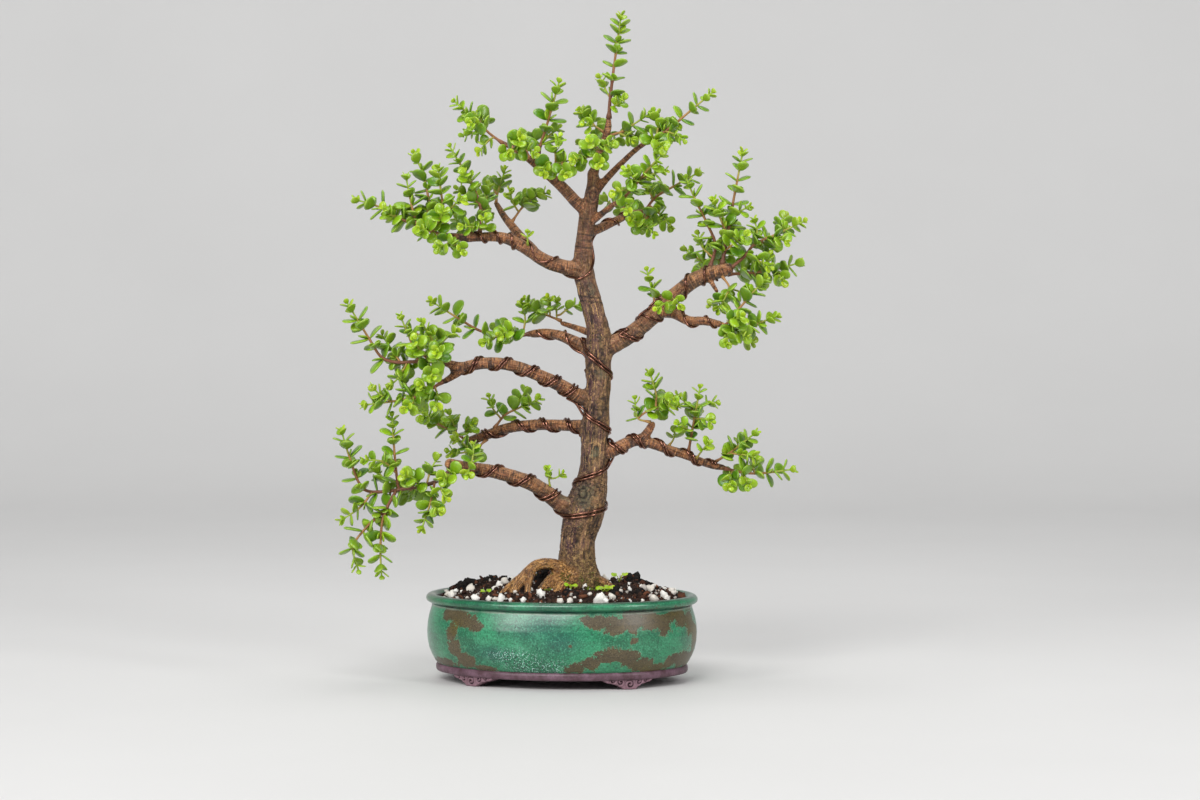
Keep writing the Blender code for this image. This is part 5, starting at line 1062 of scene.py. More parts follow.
def make_wires(wood, bark):
    """Every strand in turn: a round tube through its settled points, with round ends."""
    paint = wire_paint()
    strands = Field()
    for name, (stretches, beside) in WIRES.items():
        points = [point for stretch in stretches for point in wound_points(stretch, beside)]
        points = settled(points, wood, strands)
        strands.add(points, np.full(len(points), WIRE_RADIUS))
        line = smooth_route(laid(points, bark), 1.6)
        line, radii = round_ended(line, np.full(len(line), WIRE_RADIUS))
        line, radii = round_ended(line[::-1], radii[::-1])
        make_piece("wound_" + name, new_mesh(name, *tube(line, radii, WIRE_SIDES)), [paint], [name])


def wire_paint():
    """Copper-brown anodised aluminium, dulled and scuffed."""
    paint = Paint("anodised wire", Specular_IOR_Level=0.5)
    dull, scuffs = paint.noises(paint.place(), (140.0, 3.0, 0.6), (1100.0, 2.0, 0.6))
    colour = paint.coats((84, 55, 45), (dull.step(0.35, 0.65), (142, 98, 80)),
                         (scuffs.step(0.62, 0.74) * 0.25, (196, 154, 134)))
    return paint.finish((scuffs, 0.0001, 0.1), Base_Color=colour, Metallic=dull * 0.1 + 0.85,
                        Roughness=dull * 0.14 + 0.14)


class Shoot:
    """One shoot of a spray, along its line from foot to tip."""

    def __init__(self, line):
        self.line = line
        self.along = distances_along(line)
        self.length = self.along[-1]

    def at(self, from_tip):
        """The place at a distance from the tip, and the way that the shoot runs there."""
        distances = self.length - from_tip + np.array((0, 2, -2))
        place, ahead, behind = read_along(self.line, self.along, distances)
        return place, unit(ahead - behind)


def spray_shoots(routes):
    """A spray's shoots, with the foot of each later one on the nearest stem before it."""
    shoots = []
    for route in routes:
        line = smooth_route(route, 3.0)
        if shoots:
            before = np.vstack([shoot.line for shoot in shoots])
            away = np.linalg.norm(before - line[0], axis=1)
            near = before[away.argmin()]
            line = np.vstack([near, line[1:] if away.min() < 6 else line])
        shoots.append(Shoot(line))
    return shoots


def leaf_places(shoots, seed):
    """Each leaf of a spray as (foot, way, upper side, length, age, shoot number, distance from the tip)."""
    draw = np.random.default_rng(seed)
    leaves = []
    for number, shoot in enumerate(shoots):
        vigour = draw.uniform(0.9, 1.06) * (1.0 if shoot.length > 26 else 0.92)
        spin = draw.uniform(0, np.pi)
        from_tip = 0.4
        age = 0
        bare = min(9, 0.3 * shoot.length) if number == 0 else 4
        while from_tip < shoot.length - bare:
            foot, tangent = shoot.at(from_tip)
            side = unit(np.cross(tangent, (0, 0, 1) if abs(tangent[2]) < 0.95 else (1, 0, 0)))
            around = turned(side, tangent, spin + age * np.pi / 2 + draw.uniform(-0.22, 0.22))
            fallen = max(0.0, from_tip - 62) / 90
            for outward in (around, -around):
                if draw.random() < fallen:
                    continue
                angle = LEAF_ANGLES[min(age, 6)] + draw.uniform(-0.16, 0.16)
                way = np.cos(angle) * tangent + np.sin(angle) * outward
                upper = np.sin(angle) * tangent - np.cos(angle) * outward
                upper = upper + 0.25 * min(age, 4) / 4 * np.array((0, 0, 1.0))
                upper = unit(upper - way * way.dot(upper))
                upper = turned(upper, way, draw.normal(0, 0.28))
                length = LEAF_LENGTHS[min(age, 5)] * vigour * draw.uniform(0.86, 1.1)
                leaves.append((foot, way, upper, length, age, number, from_tip))
            from_tip += PAIR_GAPS[min(age, 6)] * draw.uniform(0.85, 1.15)
            age += 1
    return leaves


def stem_radius(from_tip):
    """0.75 mm at the tip, and 0.011 more for each millimetre below it, up to 2 mm."""
    return np.minimum(0.75 + 0.011 * from_tip, 2.0)


def stem_shape(shoot, pairs, on_wood):
    """A stem: a tube that swells by 25% at each pair of leaves and by 70% where it leaves the wood."""
    along = np.linspace(0, shoot.length, max(3, int(shoot.length / 2.0)))
    from_tip = shoot.length - along
    line = read_along(shoot.line, shoot.along, along)
    radii = stem_radius(from_tip)
    if len(pairs):
        nearest = np.abs(from_tip[:, None] - np.array(pairs)).min(1)
        radii = radii * (1 + 0.25 * ridge(nearest, 0, 1.1))
    if on_wood:
        radii = radii * (1 + 0.7 * ridge(along, 0, 2.6))
        line = np.vstack([line[0] - 2.0 * unit(line[1] - line[0]), line[1:]])
    line, radii = round_ended(line, radii)
    from_tip = np.concatenate([from_tip, np.zeros(len(line) - len(from_tip))])
    corners, faces = tube(line, radii, STEM_SIDES)
    return corners, faces, np.concatenate([np.repeat(from_tip, STEM_SIDES), [shoot.length, 0]])


def leaf_grid():
    """One flat leaf's corners as shares along, across and up, and how near each lies to its rim.

    Half-width is u^0.75 (1 - u)^0.5, drawn to 0.43 at its widest, and the section a rounded lens.
    """
    along = np.array(LEAF_STATIONS)
    half = np.maximum(0.43 * 2.319 * along ** 0.75 * (1 - along) ** 0.5, 0.05)
    thick = 0.078 * np.minimum(1, 0.5 + 2.2 * along) * np.minimum(1, 2.6 * (1 - along) ** 0.5)
    angles = round_angles(LEAF_SIDES)
    across, up = (np.sign(part) * np.abs(part) ** power
                  for part, power in ((np.cos(angles), 0.85), (np.sin(angles), 0.7)))
    grid = np.stack([np.repeat(along, LEAF_SIDES), np.outer(half, across).ravel(),
                     np.outer(thick, up).ravel()], axis=1)
    near_tip = np.repeat(np.clip((along - 0.8) / 0.16, 0, 1), LEAF_SIDES)
    rim = np.append(np.maximum(np.tile(np.abs(across) ** 6, len(along)), near_tip), (0, 1))
    side = np.append(np.tile(up, len(along)), (0, 0))
    return np.vstack([grid, (-0.02, 0, 0), (1.0, 0, 0)]), rim, side


def with_side_leaves(leaves, draw):
    """The leaves of a spray, and a small pair in the crook of some of the older ones."""
    more = []
    for foot, way, upper, length, age, number, from_tip in leaves:
        if age < 3 or draw.random() > SIDE_PAIR_SHARE:
            continue
        across = np.cross(way, upper)
        start = foot + way * stem_radius(from_tip) + upper * 0.8
        for sign in (-1, 1):
            small_way = unit(0.75 * way + 0.65 * upper + sign * draw.uniform(0.5, 0.9) * across)
            small_upper = unit(upper - way * 0.5)
            small_upper = unit(small_upper - small_way * small_way.dot(small_upper))
            more.append((start, small_way, small_upper, length * draw.uniform(0.42, 0.66), 2, number, 0.0))
    return leaves + more


def turned_to_light(foot, way, upper, age):
    """Leaves' upper sides turned partly to where the light comes from: outwards, up and forwards."""
    out = unit((foot - (20, 0, 0)) * (1, 1, 0))
    light = unit(0.55 * out + (0, -0.45, 0.75))
    young, old = LIGHT_TURNS
    upper = upper + (young + (old - young) * np.clip(age / 4, 0, 1))[:, None] * light
    return unit(upper - way * (way * upper).sum(1, keepdims=True))


def leaf_corners(leaves, draw):
    """Every leaf's corners: foot + L (u way + v across + w upper).

    v gains bend u^2, and w gains cup v^2 sin(pi u)^0.5 and loses curl u^2.5.
    """
    grid, rim, side = leaf_grid()
    count = len(leaves)
    foot, way, upper, length, age, _, from_tip = (np.array(part, float) for part in zip(*leaves))
    upper = turned_to_light(foot, way, upper, age)
    across = np.cross(way, upper)
    cup, curl, bend, plump, broad = (draw.uniform(low, high, (count, 1)) for low, high in (
        (-0.08, 0.34), (-0.10, 0.16), (-0.05, 0.05), (0.85, 1.25), (0.92, 1.1)))
    u, v, w = grid.T
    inner = np.clip(u, 0, 1)
    v = v * broad
    w = w * plump + cup * v ** 2 * np.sin(np.pi * inner) ** 0.5 - curl * inner ** 2.5
    v = v + bend * u ** 2
    stem = stem_radius(from_tip)[:, None] * 0.55
    places = foot[:, None]
    for share, direction in ((stem + length[:, None] * u, way), (length[:, None] * v, across),
                             (length[:, None] * w, upper)):
        places = places + share[..., None] * direction[:, None]
    mature = np.clip(age / 5 + draw.uniform(-0.12, 0.12, count), 0, 1)
    values = {"age": np.repeat(mature, len(u)), "hue": np.repeat(draw.random(count), len(u)),
              "rim": np.tile(rim, count), "side": np.tile(side, count), "along": np.tile(u, count)}
    return places.reshape(-1, 3), values


def leafy_mesh(name, stems, leaves, draw):
    """A mesh of stems and then leaves, with what the leaves' paint reads, and its number of stem corners."""
    corners, values = leaf_corners(leaves, draw)
    faces = [part[:, ::-1] for part in closed_faces(len(LEAF_STATIONS), LEAF_SIDES, len(leaves))]
    stem_corners, stem_faces = joined(stems)
    mesh = new_mesh(name, *joined([(stem_corners, stem_faces), (corners, faces)]))
    before = np.zeros(len(stem_corners))
    store(mesh, **{key: np.concatenate([before, value]) for key, value in values.items()})
    return mesh, len(before)


def make_sprays():
    """Each spray's stems and leaves in one piece. Gives their first shoots, which the strands pass."""
    paints = [stem_paint(), leaf_paint()]
    first_shoots = []
    for number, (name, routes) in enumerate(SPRAYS.items()):
        shoots = spray_shoots(routes)
        first_shoots.append(shoots[0])
        leaves = leaf_places(shoots, FIRST_LEAF_SEED + number)
        stems = [stem_shape(shoot, [leaf[6] for leaf in leaves if leaf[5] == index], index == 0)
                 for index, shoot in enumerate(shoots)]
        draw = np.random.default_rng(FIRST_SHAPE_SEED + number)
        leaves = with_side_leaves(leaves, draw)
        mesh, stem_count = leafy_mesh("leaves " + name, [stem[:2] for stem in stems], leaves, draw)
        from_tip = np.zeros(len(mesh.vertices))
        from_tip[:stem_count] = np.concatenate([stem[2] for stem in stems])
        store(mesh, from_tip=from_tip)
        make_piece("leafy_" + name, mesh, paints, ["spray_" + name])
        mesh.polygons.foreach_set("material_index", (first_corners(mesh) >= stem_count).astype(np.int32))
    return first_shoots


def first_corners(mesh):
    """The number of each face's first corner."""
    starts = np.zeros(len(mesh.polygons), np.int32)
    mesh.polygons.foreach_get("loop_start", starts)
    corners = np.zeros(len(mesh.loops), np.int32)
    mesh.loops.foreach_get("vertex_index", corners)
    return corners[starts]


def leaf_paint():
    """Leaves yellow-green when young and deeper with age, paler under and along the rim, with fine dots."""
    paint = Paint("leaf", Specular_IOR_Level=0.45, Subsurface_Weight=0.08, Subsurface_Scale=0.002,
                  Coat_Roughness=0.22)
    age, hue, rim, side, along = paint.attributes("age", "hue", "rim", "side", "along")
    place = paint.place()
    [mottle] = paint.noises(place, (260.0, 3.0, 0.6))
    dots = paint.spots(place, 1500.0)
    colour = paint.coats(
        paint.mix(hue, (182, 204, 34), (142, 182, 26)),
        (age.step(0.05, 0.6), paint.mix(hue, (62, 116, 8), (134, 174, 20))),
        (mottle.step(0.4, 0.75) * 0.3, (158, 192, 36)),
        (side.step(-0.2, -0.9) * 0.45, (122, 150, 48)),
        (dots.step(0.22, 0.10) * 0.2, (186, 208, 80)),
        (along.step(0.22, 0.0) * 0.5, (150, 172, 60)),
        (rim.step(0.55, 1.0) * 0.5, (170, 196, 76)))
    return paint.finish((mottle * 0.6 + dots.step(0.3, 0.0) * 0.25, 0.00025, 0.5), Base_Color=colour,
                        Roughness=mottle * 0.18 + 0.24, Coat_Weight=mottle * 0.14 + 0.16)


def stem_paint():
    """Stems green at the tip, pinkish brown lower down and brown at the foot, with fine streaks."""
    paint = Paint("stem", Specular_IOR_Level=0.35)
    [from_tip] = paint.attributes("from_tip")
    place = paint.place()
    [mottle] = paint.noises(place, (420.0, 3.0, 0.65))
    stretched = paint.add("ShaderNodeMapping", inputs={"Vector": place, "Scale": (0.4, 0.4, 1.6)})
    [streaks] = paint.noises(stretched, (700.0, 2.0, 0.6))
    age = from_tip + (mottle - 0.5) * 34
    colour = paint.coats(
        (150, 180, 62),
        (age.step(6, 30), (172, 128, 74)),
        (age.step(26, 64), (134, 84, 60)),
        (age.step(60, 120), (98, 64, 50)),
        (streaks.step(0.56, 0.72) * 0.45, (190, 150, 104)))
    return paint.finish((streaks + mottle, 0.0002, 0.5), Base_Color=colour, Roughness=mottle * 0.25 + 0.42)


def pot_turned(east, north):
    """Places given from the pot's middle, turned and moved with the pot."""
    return (POT_CENTRE_X + east * np.cos(POT_TURN) - north * np.sin(POT_TURN),
            east * np.sin(POT_TURN) + north * np.cos(POT_TURN))


def from_pot(x, y):
    """The reverse: east and north of the pot's middle, along its own axes."""
    return ((x - POT_CENTRE_X) * np.cos(POT_TURN) + y * np.sin(POT_TURN),
            y * np.cos(POT_TURN) - (x - POT_CENTRE_X) * np.sin(POT_TURN))


def on_oval(half_width, angle, share=1.0):
    """Places share (a cos t, (a - difference) sin t) on an oval that is turned with the pot."""
    half_depth = half_width - OVAL_DIFFERENCE
    return pot_turned(share * half_width * np.cos(angle), share * half_depth * np.sin(angle))


def oval_rings(half_widths, heights, segments):
    """Rings on ovals, the ones near the middle drawn in whole to a share of an oval."""
    x, y = on_oval(np.maximum(half_widths, 60)[:, None], round_angles(segments),
                   np.minimum(half_widths / 60, 1)[:, None])
    return np.stack([x, y, np.broadcast_to(np.asarray(heights)[:, None], x.shape)], axis=-1).reshape(-1, 3)


def closed_rings(corners, segments, low, high):
    """Rings of corners with the first and last each drawn to a middle corner."""
    middle = [(POT_CENTRE_X, 0, low), (POT_CENTRE_X, 0, high)]
    return np.vstack([corners, middle]), closed_faces(len(corners) // segments, segments)


def fine_profile(profile, step):
    """A profile's points with more between them, about a step apart."""
    profile = np.array(profile, float)
    along = distances_along(profile)
    places = [np.linspace(start, end, max(1, int(np.ceil((end - start) / step))), endpoint=False)
              for start, end in zip(along[:-1], along[1:])]
    return read_along(profile, along, np.append(np.concatenate(places), along[-1]))


def spiral_groove(along, height, middle_x, middle_z, size, way):
    """How deep a curl's groove is at a place: near the spiral r = size (t / 2 pi) / 1.5 about its middle."""
    x, z = (along - middle_x) * way, height - middle_z
    r = np.hypot(x, z) / size
    turn = np.arctan2(z, x) / (2 * np.pi)
    return ridge((r * 1.5 - turn + 0.5) % 1, 0.5, 0.2) * np.clip(1.25 - r, 0, 1)


def foot_shape(middle_angle):
    """A scroll foot: its section up the front, over the top and down the back, carried along the oval."""
    half_depth = FOOT_HALF_WIDTH - OVAL_DIFFERENCE
    speed = np.hypot(FOOT_HALF_WIDTH * np.sin(middle_angle), half_depth * np.cos(middle_angle))
    knots, lows = np.array(FOOT_OUTLINE, float).T
    along = np.linspace(knots[0], knots[-1], FOOT_STATIONS)
    low = (np.interp(along, knots, lows) + 0.35 * np.sin(np.abs(along) * 1.1) * (np.abs(along) > 6))[:, None]
    top = POT_UNDERSIDE + 3
    height = low + (top - low) * np.linspace(0, 1, FOOT_ROWS)
    station = np.broadcast_to(along[:, None], height.shape)
    groove = np.max([spiral_groove(station, height, *curl) for curl in FOOT_CURLS], axis=0)
    inside = np.clip((height - low) / 0.8, 0, 1)
    depth = 3.4 * groove * inside + 1.8 * (1 - inside) ** 2 - 1.2
    back = np.full(low.shape, FOOT_DEPTH)
    depth = np.hstack([depth, back, back])
    height = np.hstack([height, np.full(low.shape, top), low])
    x, y = on_oval(FOOT_HALF_WIDTH - depth, (middle_angle + along / speed)[:, None])
    corners = np.stack([x, y, height], axis=-1)
    # How deep in a curl's groove each corner lies: the clay's paint reads it for painted shade in the grooves
    # and a painted highlight on the ridges.
    groove_shading = np.hstack([groove * inside, np.zeros((len(low), 2))]).ravel()
    return (np.vstack([corners.reshape(-1, 3), corners[[0, -1]].mean(1)]), closed_faces(*height.shape),
            np.append(groove_shading, (0, 0)))


def patch_field(bearing, height, patches):
    """The highest of several soft hills: e to the minus ((turn off / width)^2 + (height off / tall)^2)."""
    return np.max([ridge((bearing - middle + 180) % 360, 180, width) * ridge(height, level, tall)
                   for middle, level, width, tall in patches], axis=0)


def make_pot():
    """The pot: its profile carried round the oval, two drain holes cut through it, and four scroll feet."""
    profile = fine_profile(POT_OUTSIDE + POT_INSIDE, PROFILE_STEP)[1:-1]
    shell = closed_rings(oval_rings(*profile.T, POT_SEGMENTS), POT_SEGMENTS, POT_UNDERSIDE, POT_FLOOR)
    holes = []
    for side in (-1, 1):
        x, y = pot_turned(side * DRAIN_X, 0)
        line = [(x, y, POT_UNDERSIDE - 4), (x, y, POT_FLOOR + 4)]
        holes.append(tube(line, (DRAIN_RADIUS, DRAIN_RADIUS), 48))
    body = placed("pot blank", new_mesh("pot blank", *shell))
    cutter = placed("drain holes", new_mesh("drain holes", *joined(holes)))
    cut = body.modifiers.new("cut", "BOOLEAN")
    cut.object = cutter
    cut.solver = "EXACT"
    mesh = applied(body)
    for thing in (body, cutter):
        bpy.data.objects.remove(thing)
    mesh.name = "pot"
    mesh.shade_smooth()
    mesh.set_sharp_from_angle(angle=np.radians(50))
    places, normals = corners_of(mesh)
    wobble = (rough_noise(places * 0.035, 2, 31) - 0.5) * 0.5 + (noise(places * 0.13, 33) - 0.5) * 0.16
    x, y, height = places.T
    put_places(mesh, places + normals * (wobble * (height > POT_FLOOR + 0.5))[:, None])
    east, north = from_pot(x, y)
    bearing = np.degrees(np.arctan2(north / (POT_HALF_WIDTH - OVAL_DIFFERENCE), east / POT_HALF_WIDTH)) % 360
    draw = np.random.default_rng(BACK_PATCH_SEED)
    behind = np.stack([draw.uniform(10, 185, BACK_PATCHES), draw.choice([24, 30, 62, 68, 74], BACK_PATCHES),
                       draw.uniform(3, 9, BACK_PATCHES), draw.uniform(3, 10, BACK_PATCHES)], axis=1)
    iron = patch_field(bearing, height, IRON_PATCHES + behind.tolist())
    iron = np.maximum(iron - patch_field(bearing, height, GREEN_GAPS), 0)
    inward = inside_of_wall(east, north, height)
    olive, teal, specks = (patch_field(bearing, height, patches)
                           for patches in (OLIVE_PATCHES, TEAL_PATCHES, SPECK_PATCHES))
    store(mesh, iron=iron, olive=olive, teal=teal, specks=specks, inward=inward,
          lip=ridge(height, LIP_TOP, 1.1) + ridge(height, LIP_EDGE, 1.6) * (1 - inward) * 0.5,
          # Masks by height for a painted highlight round the neck and a painted shadow under the lip.
          neck=ridge(height, HIGHLIGHT_HEIGHT, 0.8) * (1 - inward), shade=ridge(height, RIM_SHADOW_HEIGHT, 1.3),
          rim_brown=ridge(bearing, 190, 22) * (height > 80))
    make_piece("pot_body", mesh, [glaze_paint()], ["pot"])
    shapes = [foot_shape(angle) for angle in FOOT_ANGLES]
    feet = new_mesh("pot feet", *joined([shape[:2] for shape in shapes]))
    # The grooves' mask, for painted shade in them and a painted highlight on the ridges.
    store(feet, groove=np.concatenate([shape[2] for shape in shapes]))
    make_piece("pot_feet", feet, [clay_paint()])


def inside_of_wall(east, north, height):
    """1 for a place on the pot's inner wall, floor or lip's inner slope, and 0 outside."""
    middle = np.interp(height, WALL_MIDDLE_HEIGHTS, WALL_MIDDLE_WIDTHS)
    return ((east / middle) ** 2 + (north / (middle - OVAL_DIFFERENCE)) ** 2 < 1).astype(float)


def glaze_paint():
    """Green glaze over iron-brown patches with torn edges, a bare mauve band below and bare clay within."""
    paint = Paint("glaze", Coat_Roughness=0.36, Specular_IOR_Level=0.5)
    iron, olive, teal, specks, inward, lip, neck, shade, rim_brown = paint.attributes(
        "iron", "olive", "teal", "specks", "inward", "lip", "neck", "shade", "rim_brown")
    place = paint.place()
    height = paint.part(place, "Z") * 1000.0
    broad, torn, fine, mist = paint.noises(
        place, (26.0, 3.0, 0.55), (120.0, 6.0, 0.74), (560.0, 3.0, 0.7), (60.0, 5.0, 0.7))
    dots, large_dots = paint.spots(place, 640.0), paint.spots(place, 420.0)
    green = paint.coats(
        (8, 94, 60),
        (broad.step(0.38, 0.62), (34, 132, 88)),
        (teal.clamped() * 0.8, (0, 84, 70)),
        (mist.step(0.54, 0.70) * 0.5, (70, 156, 116)),
        (mist.step(0.44, 0.32) * 0.6, (4, 66, 52)),
        (fine.step(0.54, 0.62) * 0.6, (2, 42, 34)),
        (fine.step(0.45, 0.38) * 0.4, (92, 178, 140)),
        ((specks * 0.9 + mist * 0.25).step(0.3, 0.9) * dots.step(0.34, 0.20) * 0.95, (190, 224, 218)),
        ((specks - 0.3).step(0.0, 0.4) * large_dots.step(0.36, 0.24) * 0.95, (8, 28, 30)))
    brown = paint.coats(
        (84, 72, 46),
        (olive.clamped(), (90, 80, 18)),
        (broad.step(0.4, 0.6) * 0.5, (66, 56, 34)),
        (mist.step(0.52, 0.68) * 0.3, (112, 98, 66)),
        (fine.step(0.50, 0.60) * 0.6, (36, 31, 20)),
        (dots.step(0.26, 0.16) * 0.35, (150, 140, 116)))
    worn = iron + (torn - 0.5) * 1.9 + (fine - 0.5) * 0.6
    bare = worn.step(0.47, 0.53)
    edge = worn.step(0.40, 0.47) * (1.0 - bare)
    band = (height + (torn - 0.5) * 2.2).step(17.6, 17.0)
    within = inward * (height + (torn - 0.5) * 4.0).step(84.5, 83.0)
    unglazed = (band + within).clamped()
    colour = paint.coats(
        green,
        (bare, brown),
        (edge * 0.35, (96, 168, 120)),
        ((lip * 0.75).clamped(), paint.mix(mist.step(0.45, 0.6), (2, 50, 34), (22, 88, 62))),
        ((rim_brown * 0.8 * torn.step(0.3, 0.6)).clamped(), (84, 84, 56)),
        (lip.clamped() * large_dots.step(0.22, 0.12) * 0.6, (40, 56, 42)),
        # A painted highlight: a pale line round the neck.
        ((neck * mist.step(0.35, 0.6) * 0.8).clamped(), (146, 158, 140)),
        # A painted shadow under the lip, on the outside only.
        ((shade * (1.0 - inward) * mist.step(0.30, 0.5) * 0.85).clamped(), (6, 36, 42)),
        (unglazed, clay_colour(paint, place, fine)),
        (within * 0.5, (62, 50, 42)))
    glazed = 1.0 - unglazed
    relief = fine * 0.25 + torn * 0.35 - bare * 0.45 + edge * 0.5 + dots.step(0.2, 0.05) * 0.2
    return paint.finish((relief, 0.00035, 0.55), Base_Color=colour, Coat_Weight=glazed * (0.6 - bare * 0.3),
                        Roughness=unglazed * 0.16 + 0.24 + bare * glazed * 0.12 + mist * 0.1)


def clay_colour(paint, place, fine):
    """Bare purple-brown clay, paler and darker by turns."""
    [cloud] = paint.noises(place, (90.0, 3.0, 0.6))
    return paint.coats((76, 48, 56), (cloud.step(0.38, 0.64), (114, 84, 98)),
                       (fine.step(0.5, 0.66) * 0.5, (48, 28, 34)))


def clay_paint():
    """The feet's bare clay: painted highlights on the curls' ridges, painted shade in their grooves."""
    paint = Paint("bare clay", Specular_IOR_Level=0.4)
    place = paint.place()
    [fine] = paint.noises(place, (900.0, 3.0, 0.65))
    [groove] = paint.attributes("groove")
    # The paler coat off the grooves is a painted highlight on the ridges, the near-black coat in them painted
    # shade.
    colour = paint.coats(clay_colour(paint, place, fine), ((0.6 - groove).clamped(), (146, 112, 122)),
                         (groove.step(0.25, 0.8), (16, 8, 10)))
    return paint.finish((fine, 0.0002, 0.5), Base_Color=colour, Roughness=fine * 0.2 + 0.45)


def soil_height(x, y):
    """The soil's height: a mound from the wall to the middle, with a few broad lumps."""
    east, north = from_pot(x, y)
    out = np.minimum(1.0, (east / SOIL_HALF_WIDTH) ** 2 + (north / (SOIL_HALF_WIDTH - OVAL_DIFFERENCE)) ** 2)
    lumps = sum(rise * hill(x, y, *lump) for *lump, rise in SOIL_LUMPS)
    return SOIL_EDGE + SOIL_MOUND * (1 - out) + lumps * (1 - out ** 4)


def hill(x, y, middle_x, middle_y, radius):
    """A soft hill on the soil: e to the minus (distance / radius) squared."""
    return np.exp(-((x - middle_x) ** 2 + (y - middle_y) ** 2) / radius ** 2)


def clod_share(x, y):
    """How near a place lies to a clod of black compost, from 0 to 1."""
    return np.max([hill(x, y, *clod) for clod in CLODS], axis=0)


def rough_soil_height(x, y):
    """The soil's height with a heap and noise of two sizes on it, rougher on the clods."""
    places = np.stack([x, y, np.zeros_like(x)], axis=-1)
    clod = clod_share(x, y)
    *heap, rise = HEAP
    return (soil_height(x, y) - 1.0 + rise * hill(x, y, *heap)
            + (rough_noise(places * 0.11, 3, 51) - 0.5) * (4 + 6 * clod)
            + (rough_noise(places * 0.45, 2, 57) - 0.5) * (1.6 + 2.4 * clod))


def make_soil():
    """The soil: rings up its wall and in over its top, with loose crumbs and perlite on it."""
    wall_widths = np.interp(SOIL_WALL_HEIGHTS, *np.transpose(SOIL_WALL))
    shares = np.linspace(1, 0.012, SOIL_TOP_RINGS)[:, None]
    x, y = on_oval(SOIL_TOP_HALF_WIDTH, round_angles(SOIL_SEGMENTS), shares)
    top = np.stack([x, y, rough_soil_height(x, y)], axis=-1).reshape(-1, 3)
    corners = np.vstack([oval_rings(wall_widths, SOIL_WALL_HEIGHTS, SOIL_SEGMENTS), top])
    middle = rough_soil_height(POT_CENTRE_X, 0.0)
    mesh = new_mesh("soil", *closed_rings(corners, SOIL_SEGMENTS, SOIL_WALL_HEIGHTS[0], middle))
    x, y, _ = corners_of(mesh)[0].T
    store(mesh, black=clod_share(x, y), shade=np.full(len(x), 0.4))
    paint = soil_paint()
    make_piece("soil_bed", mesh, [paint], ["soil"])
    make_crumbs(paint)


def make_stones(name, places, sizes, squash, grid, draw, paint, slot, dented=0.0, **values):
    """Many uneven stones in one piece: spheres pushed in and out, squashed, turned and given each a shade."""
    rows, columns = grid
    polar = np.pi * np.arange(1, rows + 1) / (rows + 1)
    around = round_angles(columns)
    ball = np.stack([np.outer(np.sin(polar), np.cos(around)), np.outer(np.sin(polar), np.sin(around)),
                     np.outer(-np.cos(polar), np.ones(columns))], axis=-1).reshape(-1, 3)
    ball = np.vstack([ball, (0, 0, -1), (0, 0, 1)])
    count = len(places)
    dents = draw.normal(0, 0.2, (count, len(ball), 1)).clip(-0.4, 0.4)
    shape = ball * (1 + dents) * (sizes[:, None] * squash)[:, None]
    w, x, y, z = unit(draw.normal(0, 1, (count, 4))).T
    turn = np.stack([1 - 2 * (y * y + z * z), 2 * (x * y - z * w), 2 * (x * z + y * w),
                     2 * (x * y + z * w), 1 - 2 * (x * x + z * z), 2 * (y * z - x * w),
                     2 * (x * z - y * w), 2 * (y * z + x * w), 1 - 2 * (x * x + y * y)], axis=1)
    off = np.einsum("nij,nkj->nki", turn.reshape(-1, 3, 3), shape)
    corners = (off + places[:, None]).reshape(-1, 3)
    if dented:
        corners += (noise(corners * 0.6, 71)[:, None] - 0.5) * unit(off.reshape(-1, 3)) * dented
    mesh = new_mesh(name, corners, closed_faces(rows, columns, count))
    values["shade"] = draw.random(count)
    store(mesh, **{key: np.repeat(value, len(ball)) for key, value in values.items()})
    make_piece(name, mesh, [paint])


def gathered(spots, spread, number_for, draw):
    """Places gathered round each (x, y, radius), as many as its radius asks for."""
    return np.hstack([[middle + draw.normal(0, radius * spread, number_for(radius)) for middle in (x, y)]
                      for x, y, radius in spots])


def scattered(count, draw):
    """Places spread evenly over the soil's top, clear of the wall."""
    angle = draw.uniform(0, 2 * np.pi, count)
    return on_oval(CRUMB_REACH, angle, np.sqrt(draw.uniform(0, 0.975, count)))


